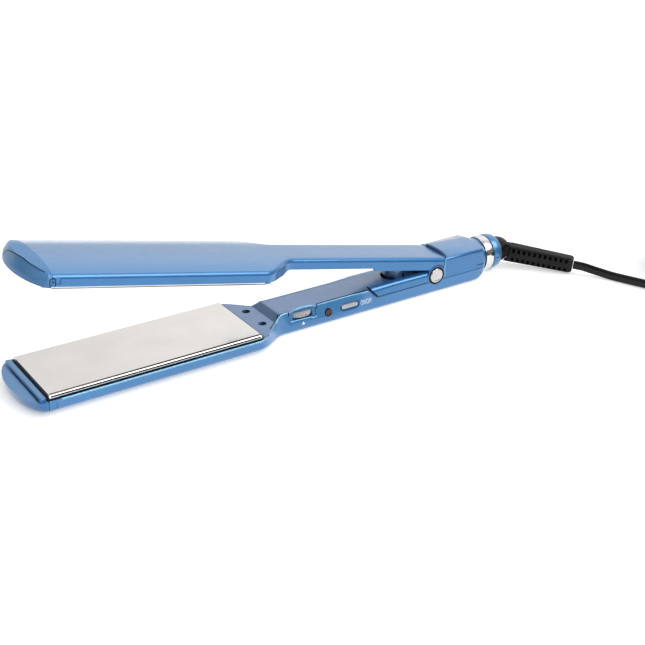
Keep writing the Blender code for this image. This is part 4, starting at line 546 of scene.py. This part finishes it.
# Marks and seams, with painted highlights, painted shade and painted reflections, laid on the finished skins
UPPER, LOWER = body_of("upper_housing"), body_of("lower_housing")
WALL, REAR, PLATE_FACE = ["lower_housing_skin"], ["rear_cover_skin"], ["lower_plate_skin"]
RIM = ["handle_cover_skin", "lower_housing_skin"]
# The way that a rounded upper edge on the near side faces
EDGE_LEAN = (0.0, -0.7, 0.7)
BEAD_SPACING = 0.6 * MM


def surface(*names):
    bm = bmesh.new()
    for name in names:
        bm.from_mesh(bpy.data.objects[name].data)
    tree = BVHTree.FromBMesh(bm)
    bm.free()
    return tree


def bead(name, on, points, radius, sink, material, body, steps=10, grow=1.0, lean=None):
    """A fine rounded line along points in millimetres, drawn onto skins and sunk into them.

    Along an edge, lean is the way that the edge faces. The line ends grow times as thick as it starts."""
    tree = surface(*on)
    spots = [tree.find_nearest(p)[:2] for p in catmull([at(*p) for p in points], BEAD_SPACING)]
    line = [place for place, normal in spots]
    angles = [2 * math.pi * k / steps for k in range(steps)]
    rows = []
    for i, (place, normal) in enumerate(spots):
        ahead = heading(line, i)
        across = (Vector(lean) if lean else normal).cross(ahead).normalized()
        over = ahead.cross(across)
        size = (1 + (grow - 1) * i / (len(line) - 1)) * MM
        centre = place - sink * size * over
        rows.append([centre + radius * size * (across * math.cos(a) + over * math.sin(a)) for a in angles])
    return on_body(tube(name, rows, material), body, "satin_blue_paint")


def spaced(start, step, count, y, z):
    """Points in a straight row along the iron."""
    return [(start + step * k, y, z) for k in range(count)]


def nose_lines():
    cap, arm = ["upper_nose_cap_skin"], ["upper_nose_cap_skin", "upper_housing_skin"]
    tip = [(-2.6, 13.6, 64.0), (-2.0, 9.7, 67.0), (-2.1, 1.7, 69.1), (-1.1, -8.1, 69.8), (0.5, -14.8, 68.5)]
    bead("nose_joint", cap, tip, 0.3, 0.16, SEAM, UPPER)
    # Painted shade: a dark blue line along the crease at the nose's near corner.
    crease = [(0.5, -14.9, 68.4), (1.2, -16.7, 68.1), (2.0, -18.5, 67.6), (2.8, -20.1, 67.1),
              (3.7, -21.6, 66.7), (4.6, -23.0, 66.2)]
    bead("nose_crease_shade", cap, crease, 0.55, 0.3, SHADE, UPPER)
    latch = [(5.1, -26.6, 59.3), (5.3, -26.6, 62.2), (6.0, -26.4, 63.2), (7.0, -26.4, 63.4),
             (8.1, -26.6, 62.6), (8.2, -26.6, 60.8), (7.6, -26.6, 59.2)]
    bead("latch_joint", arm, latch, 0.3, 0.16, SEAM, UPPER)
    bead("latch_pin", arm, [(6.9, -26.6, 61.8), (7.2, -26.6, 61.2)], 0.4, 0.2, SEAM, UPPER)
    # Painted shade: a dark line in the corner at the foot of the lower nose's bar.
    foot = [(-4.7, -22.6, -2.6), (-4.9, -15.0, -2.9), (-4.9, -4.0, -3.1), (-4.9, 7.0, -2.9),
            (-4.8, 17.0, -2.4)]
    bead("bar_foot_shade", ["lower_nose_cap_skin"], foot, 0.34, 0.1, SEAM, LOWER)


def tail_lines():
    split = [(288.0, -13.5, -0.6), (291.0, -13.4, -0.8), (294.0, -13.1, -1.2)]
    bead("tail_joint", REAR + WALL, split, 0.3, 0.16, SEAM, LOWER)
    split = [(304.5, -11.4, -0.4), (306.8, -11.4, -0.7), (310.0, -10.8, -1.1)]
    bead("ring_joint", ["tail_ring"], split, 0.25, 0.12, SEAM, body_of("end_ring"))


def handle_lines():
    # Painted highlight: a bead in the paler blue along the rim's top edge.
    rim = spaced(170.5, 3.6, 11, -13.5, 2.5)
    bead("rim_highlight", WALL, rim, 0.36, 0.16, HIGHLIGHT_BLUE, LOWER, lean=EDGE_LEAN)
    bead("rim_joint", RIM, spaced(170.5, 3.5, 11, -9.6, 0.9), 0.6, 0.32, SEAM, LOWER)
    # Painted highlight: a bead in the paler blue along the brow over the wheel.
    brow = [(151.0, -10.9, 0.6), (155.0, -10.8, 1.6), (159.0, -10.8, 2.0), (163.0, -10.8, 1.9),
            (167.2, -10.8, 1.2), (169.0, -10.7, 0.3)]
    bead("brow_highlight", WALL, brow, 0.5, 0.1, HIGHLIGHT_BLUE, LOWER, lean=EDGE_LEAN)
    for word, x in (("left", 150.6), ("right", 169.5)):
        notch = [(x, -10.6, 1.3), (x + 0.1, -11.2, 0.4), (x + 0.2, -11.4, -0.9)]
        bead("brow_notch_" + word, WALL, notch, 0.35, 0.1, SEAM, LOWER)
    turns = [2 * math.pi * k / 24 for k in range(25)]
    ring = [(177.1 + 2.05 * math.cos(a), -12.8, -5.0 + 2.05 * math.sin(a)) for a in turns]
    bead("lamp_ring", WALL, ring, 0.28, 0.1, SEAM, LOWER)


def cheek_lines():
    front = [(206.1, -9.8, 2.8), (206.5, -12.0, 2.4), (207.2, -12.9, 1.6), (208.0, -13.4, 0.8),
             (208.8, -13.5, -0.1), (211.9, -13.5, -3.4)]
    bead("cheek_front", REAR + WALL, front, 0.4, 0.12, SEAM, LOWER)
    bead("cheek_foot", REAR + WALL, spaced(212.2, 7.2, 6, -13.5, -3.45), 0.28, 0.12, SEAM, LOWER)


def dial_marks():
    dial = body_of("temperature_dial")
    for word, x in (("first", 159.0), ("second", 161.5)):
        dash = [(x, -12.6, -2.2), (x + 0.2, -12.6, -2.7)]
        bead("dial_mark_" + word, ["temperature_dial_skin"], dash, 0.42, 0.2, SEAM, dial)


def plate_lines():
    # Painted reflection: dark matt lines along the polished plate's flat edge and its bevel.
    face_edge = spaced(0.8, 15.4, 9, -23.4, -0.16)
    bead("plate_dark_reflection", PLATE_FACE, face_edge, 0.44, 0.38, DARK_PLATE_REFLECTION, LOWER, steps=16, grow=1.7)
    bevel = spaced(0.8, 15.4, 9, -24.72, -1.15)
    bead("plate_bevel_dark_reflection", PLATE_FACE, bevel, 0.44, 0.08, DARK_PLATE_REFLECTION, LOWER, lean=(0.0, -0.78, 0.62))
    # Painted highlight: a bead in the paler blue along the housing's rim over the plate.
    rim = spaced(5.8, 14.6, 9, -27.4, -2.2) + [(126.5, -26.2, -2.4), (128.9, -24.3, -2.5)]
    bead("edge_highlight", WALL, rim, 0.55, 0.2, HIGHLIGHT_BLUE, LOWER, steps=16, lean=EDGE_LEAN)


def ramp_lines():
    """Where the wide front eases into the handle, with a painted highlight along the ramp's edge, and the
    small stop on the upper arm over it.
    """
    # Painted highlight: a bead in the paler blue along the ramp's edge.
    ramp = [(129.5, -23.6, -2.3), (132.5, -20.6, -2.2), (135.8, -17.5, -2.1), (139.6, -13.8, -2.0),
            (142.4, -11.9, -0.6), (144.6, -11.4, 0.6), (146.6, -11.4, 1.0), (150.0, -11.3, 1.0)]
    bead("ramp_highlight", WALL, ramp, 0.6, 0.15, HIGHLIGHT_BLUE, LOWER, lean=(-0.3, -0.65, 0.7))
    groove = [(134.5, -17.6, -2.3), (140.0, -12.4, -2.2), (143.8, -10.3, 0.0), (146.0, -10.1, 0.9),
              (150.4, -10.1, 0.9)]
    bead("ramp_joint", RIM, groove, 0.5, 0.3, SEAM, LOWER)
    stop = [(126.4, -26.2, 31.3), (129.0, -26.0, 31.0)]
    bead("plate_stop", ["upper_housing_skin"], stop, 0.9, 0.1, BLUE, UPPER, steps=16)


def scoop_highlight():
    """The lower edge of the hollow that the thumbwheel sits in, with its highlight painted on in a paler
    blue.
    """
    scoop = [(150.8, -12.4, -4.7), (154.3, -12.0, -4.8), (158.0, -12.1, -4.9), (162.4, -12.3, -5.1),
             (169.1, -12.5, -5.0)]
    bead("scoop_highlight", WALL, scoop, 0.36, 0.08, HIGHLIGHT_BLUE, LOWER, lean=(0.0, -0.94, 0.34))


def hood_lines():
    # Painted highlight: a bead in the paler blue down the hood's front near edge.
    lip = [(263.9, -10.8, 9.9), (263.5, -12.4, 9.3), (262.3, -13.3, 7.0), (261.8, -13.5, 3.5),
           (262.1, -13.5, 0.5), (262.5, -13.5, -2.1)]
    bead("hood_lip_highlight", REAR, lip, 0.4, 0.1, HIGHLIGHT_BLUE, LOWER)
    # Painted shade: a dark blue strip along the hood's front top edge, where its front face is in shade.
    front = [(264.9, 8.5, 10.6), (264.9, 4.0, 10.95), (264.9, 0.0, 11.0), (264.8, -5.5, 10.8),
             (264.3, -10.0, 10.1), (263.8, -12.3, 9.5)]
    bead("hood_front_shade", REAR, front, 1.25, 0.78, SHADE, LOWER, steps=20)


def letters(text, left, right, low, high):
    """Outlines of a short text as faces, spread over a box on the near wall, in millimetres."""
    curve = bpy.data.curves.new(text, "FONT")
    curve.body = text
    obj = bpy.data.objects.new(text, curve)
    bpy.context.scene.collection.objects.link(obj)
    shape = obj.evaluated_get(bpy.context.evaluated_depsgraph_get()).to_mesh()
    bm = bmesh.new()
    bm.from_mesh(shape)
    bpy.data.objects.remove(obj)
    bpy.data.curves.remove(curve)
    across, up = [v.co.x for v in bm.verts], [v.co.y for v in bm.verts]
    for v in bm.verts:
        x = left + (right - left) * (v.co.x - min(across)) / (max(across) - min(across))
        z = low + (high - low) * (v.co.y - min(up)) / (max(up) - min(up))
        v.co = (x, 0.0, z)
    return bm


def wall_marks():
    """The word beside the switch and the pointer under the wheel, as a thin layer of white print."""
    outside, lift, thickness = -60.0, 0.03 * MM, 0.1 * MM
    pointer = ((159.5, -6.0), (158.4, -7.8), (160.6, -7.8))
    tree = surface(*WALL)
    bm = letters("ON/OFF", left=199.9, right=207.7, low=-6.05, high=-3.2)
    bm.faces.new([bm.verts.new((x, 0.0, z)) for x, z in pointer])
    for v in bm.verts:
        hit = tree.ray_cast(at(v.co.x, outside, v.co.z), Vector((0.0, 1.0, 0.0)))[0]
        v.co = hit - Vector((0.0, lift, 0.0))
    bmesh.ops.recalc_face_normals(bm, faces=bm.faces)
    bmesh.ops.solidify(bm, geom=bm.faces[:], thickness=thickness)
    on_body(settled("wall_marks", bm, PRINT), LOWER, None)


def marks_seams_and_painted_light():
    wall_marks()
    nose_lines()
    tail_lines()
    handle_lines()
    cheek_lines()
    dial_marks()
    plate_lines()
    ramp_lines()
    scoop_highlight()
    hood_lines()


def inner_nodes():
    """Pieces inside the housings keep their solids and take a finish."""
    finishes = {
        "lower_heating_element": CERAMIC, "upper_heating_element": CERAMIC, "lower_insulation_pad": MICA,
        "upper_insulation_pad": MICA, "thermal_fuse": STEEL, "hinge_pin": STEEL, "circuit_board": BOARD,
        "dial_potentiometer": BLACK, "push_switch": BLACK, "swivel_contacts": BRASS, "contact_pin": BRASS,
    }
    for node, material in finishes.items():
        mesh = frame["nodes"][node].data
        mesh.materials.clear()
        mesh.materials.append(material)


# Cord: the same route as the solids follow, in millimetres
CORD = 5.6
CORD_SPACING = 4.0
CLEARANCE = 0.1
JOIN_GAP = 0.3
FLOOR = -12.0
CORD_Z = FLOOR + CORD / 2 + CLEARANCE
TILT = Vector((317.9, 0.0, -0.6))
TURN = Matrix.Rotation(math.radians(6.2), 3, "X") @ Matrix.Rotation(math.radians(-50.0), 3, "Z")
RELIEF_LENGTH, RELIEF_DROP = 47.5, 1.5
LEAD_START = TILT + TURN @ Vector((RELIEF_LENGTH + JOIN_GAP, 0.0, -RELIEF_DROP))
LEAD_HEADING = TURN @ Vector((1.0, 0.0, 0.0))
LEAD_ROUTE = [(13.1, -19.4), (17.3, -29.1), (22.2, -39.6), (30.4, -56.0)]
COIL_OUTER, COIL_PITCH, COIL_LAYERS, COIL_TURNS, COIL_POINTS = 41.8, 6.1, 4, 3.0, 23
COIL_ENTRY = math.radians(204.5)
COIL_EDGE = LEAD_START.xy + Vector((38.7, -73.6))
COIL_CENTRE = COIL_EDGE - COIL_OUTER * Vector((math.cos(COIL_ENTRY), math.sin(COIL_ENTRY)))
COIL_LIFT = 1.4
COIL_Z = FLOOR + COIL_LIFT + CORD / 2
PLUG_HALF = 7.5
PLUG_Z = FLOOR + PLUG_HALF + CLEARANCE
TAIL_OUT, TAIL_DOWN, TAIL_RADIUS = math.radians(60.0), math.radians(120.0), 57.0
TAIL_END = 1.5 * CORD


def smooth(t):
    t = min(1.0, max(0.0, t))
    return t * t * (3 - 2 * t)


def on_coil(radius, turn, z):
    angle = COIL_ENTRY + turn
    return Vector((COIL_CENTRE.x + radius * math.cos(angle), COIL_CENTRE.y + radius * math.sin(angle), z))


def coil_points():
    """Layers wound inwards and outwards by turns, each step up taking half a turn."""
    points = []
    for k in range(round(COIL_LAYERS * COIL_TURNS * COIL_POINTS) + 1):
        turns = k / COIL_POINTS
        phase = (turns / COIL_TURNS) % 2
        inward = (phase if phase <= 1 else 2 - phase) * COIL_TURNS * COIL_PITCH
        climb = sum(smooth((turns - COIL_TURNS * layer) * 2 + 0.5) for layer in range(1, COIL_LAYERS))
        points.append(on_coil(COIL_OUTER - inward, 2 * math.pi * turns, COIL_Z + COIL_PITCH * climb))
    return points


def tail_points(top):
    """From the coil's top layer out beside it, down to the plug's height and straight on."""
    turn = 2 * math.pi * COIL_LAYERS * COIL_TURNS
    step = 2 * math.pi / COIL_POINTS
    beside = COIL_OUTER + COIL_PITCH
    points = []
    for k in range(1, round(TAIL_OUT / step) + 1):
        share = smooth(k * step / TAIL_OUT)
        points.append(on_coil(COIL_OUTER + (beside - COIL_OUTER) * share, turn + k * step, top))
    turn += TAIL_OUT
    for k in range(1, round(TAIL_DOWN / step) + 1):
        share = smooth(k * step / TAIL_DOWN)
        radius = beside + (TAIL_RADIUS - beside) * share
        points.append(on_coil(radius, turn + k * step, top + (PLUG_Z - top) * share))
    angle = COIL_ENTRY + turn + TAIL_DOWN + math.pi / 2
    points.append(points[-1] + TAIL_END * Vector((math.cos(angle), math.sin(angle), 0.0)))
    return points


def cord_line():
    """The whole run, from the strain relief round the coil to the plug."""
    coil = coil_points()
    coil += tail_points(coil[-1].z)
    back = (coil[0] - coil[1]).normalized() * CORD
    coil.insert(0, coil[0] + Vector((back.x, back.y, 0.0)))
    lead = [LEAD_START, LEAD_START + CORD * LEAD_HEADING]
    lead += [Vector((LEAD_START.x + x, LEAD_START.y + y, CORD_Z)) for x, y in LEAD_ROUTE]
    lead.append(coil[0] + (CORD + JOIN_GAP) * (coil[0] - coil[1]).normalized())
    return [at(*p) for p in catmull(lead + coil, CORD_SPACING)]


def twin_section():
    """Two cores side by side in one jacket, with a shallow groove on each side, in millimetres."""
    lobe, apart, steps, rounding = 1.75, 1.05, 9, 0.94
    reach = math.acos(-apart / lobe)
    points = []
    for sign in (1, -1):
        for k in range(steps + 1):
            angle = sign * math.pi / 2 - reach * (1 - 2 * k / steps) * rounding
            points.append((lobe * math.cos(angle), sign * apart + lobe * math.sin(angle)))
    return points


def cord():
    line = cord_line()
    section = twin_section()
    rows = []
    for i, point in enumerate(line):
        ahead = heading(line, i)
        across = ahead.cross(Vector((0.0, 0.0, 1.0))).normalized()
        over = across.cross(ahead)
        rows.append([point + (across * a + over * b) * MM for a, b in section])
    obj = tube("mains_cord", rows, JACKET)
    on_body(obj, "cord_end", "black_rubber", "cord_lead", "cord_coil")


# Floor, light and background
FLOOR_REACH, FLOOR_DROP, FLOOR_GLOW = 40.0, 0.05 * MM, 0.42
PANEL_WAY = (0.498, -0.451, 0.741)
KEY_PLACE, KEY_TARGET = (-0.15, -1.1, 0.85), (0.0, 0.0, 0.03)
KEY_WIDTH, KEY_HEIGHT, KEY_POWER = 0.7, 0.35, 7.5


def pale_floor():
    """A matt floor that glows a little for the camera and for reflections, so that it shows nearly white."""
    finish = Finish("pale_floor", specular_ior_level=0.0, roughness=0.9)
    finish.colour(finish.spread(finish.noise(size=400.0), (0.80, 0.80, 0.80), (0.82, 0.82, 0.82)))
    path = finish.add("ShaderNodeLightPath")
    seen = path.outputs["Is Camera Ray"]
    for kind in ("Is Glossy Ray", "Is Transmission Ray"):
        either = finish.add("ShaderNodeMath", operation="MAXIMUM")
        finish.link(seen, either.inputs[0])
        finish.link(path.outputs[kind], either.inputs[1])
        seen = either.outputs["Value"]
    glow = finish.add("ShaderNodeEmission")
    glow.inputs["Strength"].default_value = FLOOR_GLOW
    both = finish.add("ShaderNodeAddShader")
    finish.link(finish.shader.outputs["BSDF"], both.inputs[0])
    finish.link(glow.outputs["Emission"], both.inputs[1])
    pick = finish.add("ShaderNodeMixShader")
    finish.link(seen, pick.inputs["Fac"])
    finish.link(finish.shader.outputs["BSDF"], pick.inputs[1])
    finish.link(both.outputs["Shader"], pick.inputs[2])
    finish.link(pick.outputs["Shader"], finish.tree.nodes["Material Output"].inputs["Surface"])
    return finish.material


def floor():
    bm = bmesh.new()
    bmesh.ops.create_grid(bm, x_segments=8, y_segments=8, size=FLOOR_REACH)
    ground = settled("floor", bm, pale_floor())
    ground.location.z = -FLOOR_DROP


def key_lamp():
    data = bpy.data.lights.new("key", "AREA")
    data.shape = "RECTANGLE"
    data.size = KEY_WIDTH
    data.size_y = KEY_HEIGHT
    data.energy = KEY_POWER
    obj = bpy.data.objects.new("key", data)
    obj.location = KEY_PLACE
    obj.rotation_euler = (Vector(KEY_TARGET) - Vector(KEY_PLACE)).to_track_quat("-Z", "Y").to_euler()
    bpy.context.scene.collection.objects.link(obj)


def studio():
    """A bright back wall, a room that is dim in front and low on the left, and a soft panel up in front."""
    world = bpy.data.worlds.new("studio")
    world.use_nodes = True
    tree = world.node_tree
    way = tree.nodes.new("ShaderNodeTexCoord").outputs["Generated"]
    parts = tree.nodes.new("ShaderNodeSeparateXYZ")
    tree.links.new(way, parts.inputs["Vector"])

    def stepped(value, start, end, low, high):
        node = tree.nodes.new("ShaderNodeMapRange")
        node.interpolation_type = "SMOOTHSTEP"
        for key, number in (("From Min", start), ("From Max", end), ("To Min", low), ("To Max", high)):
            node.inputs[key].default_value = number
        tree.links.new(value, node.inputs["Value"])
        return node.outputs["Result"]

    def joined(operation, first, second):
        node = tree.nodes.new("ShaderNodeMath")
        node.operation = operation
        tree.links.new(first, node.inputs[0])
        tree.links.new(second, node.inputs[1])
        return node.outputs["Value"]

    wall = stepped(parts.outputs["Y"], start=-0.35, end=0.35, low=0.20, high=0.86)
    right = stepped(parts.outputs["X"], start=-0.5, end=0.75, low=0.25, high=1.3)
    above = stepped(parts.outputs["Z"], start=0.2, end=0.5, low=0.25, high=1.0)
    lift = stepped(parts.outputs["Z"], start=0.12, end=0.42, low=0.74, high=1.12)
    room = joined("MULTIPLY", joined("MULTIPLY", wall, joined("MAXIMUM", right, above)), lift)
    toward = tree.nodes.new("ShaderNodeVectorMath")
    toward.operation = "DOT_PRODUCT"
    toward.inputs[1].default_value = PANEL_WAY
    tree.links.new(way, toward.inputs[0])
    panel = stepped(toward.outputs["Value"], start=0.92, end=0.97, low=0.0, high=4.5)
    background = tree.nodes["Background"]
    background.inputs["Color"].default_value = (1.0, 1.0, 1.0, 1.0)
    tree.links.new(joined("ADD", room, panel), background.inputs["Strength"])
    bpy.context.scene.world = world


camera()
skins()
tail_pieces()
pivot_pieces()
marks_seams_and_painted_light()
inner_nodes()
cord()
floor()
studio()
key_lamp()
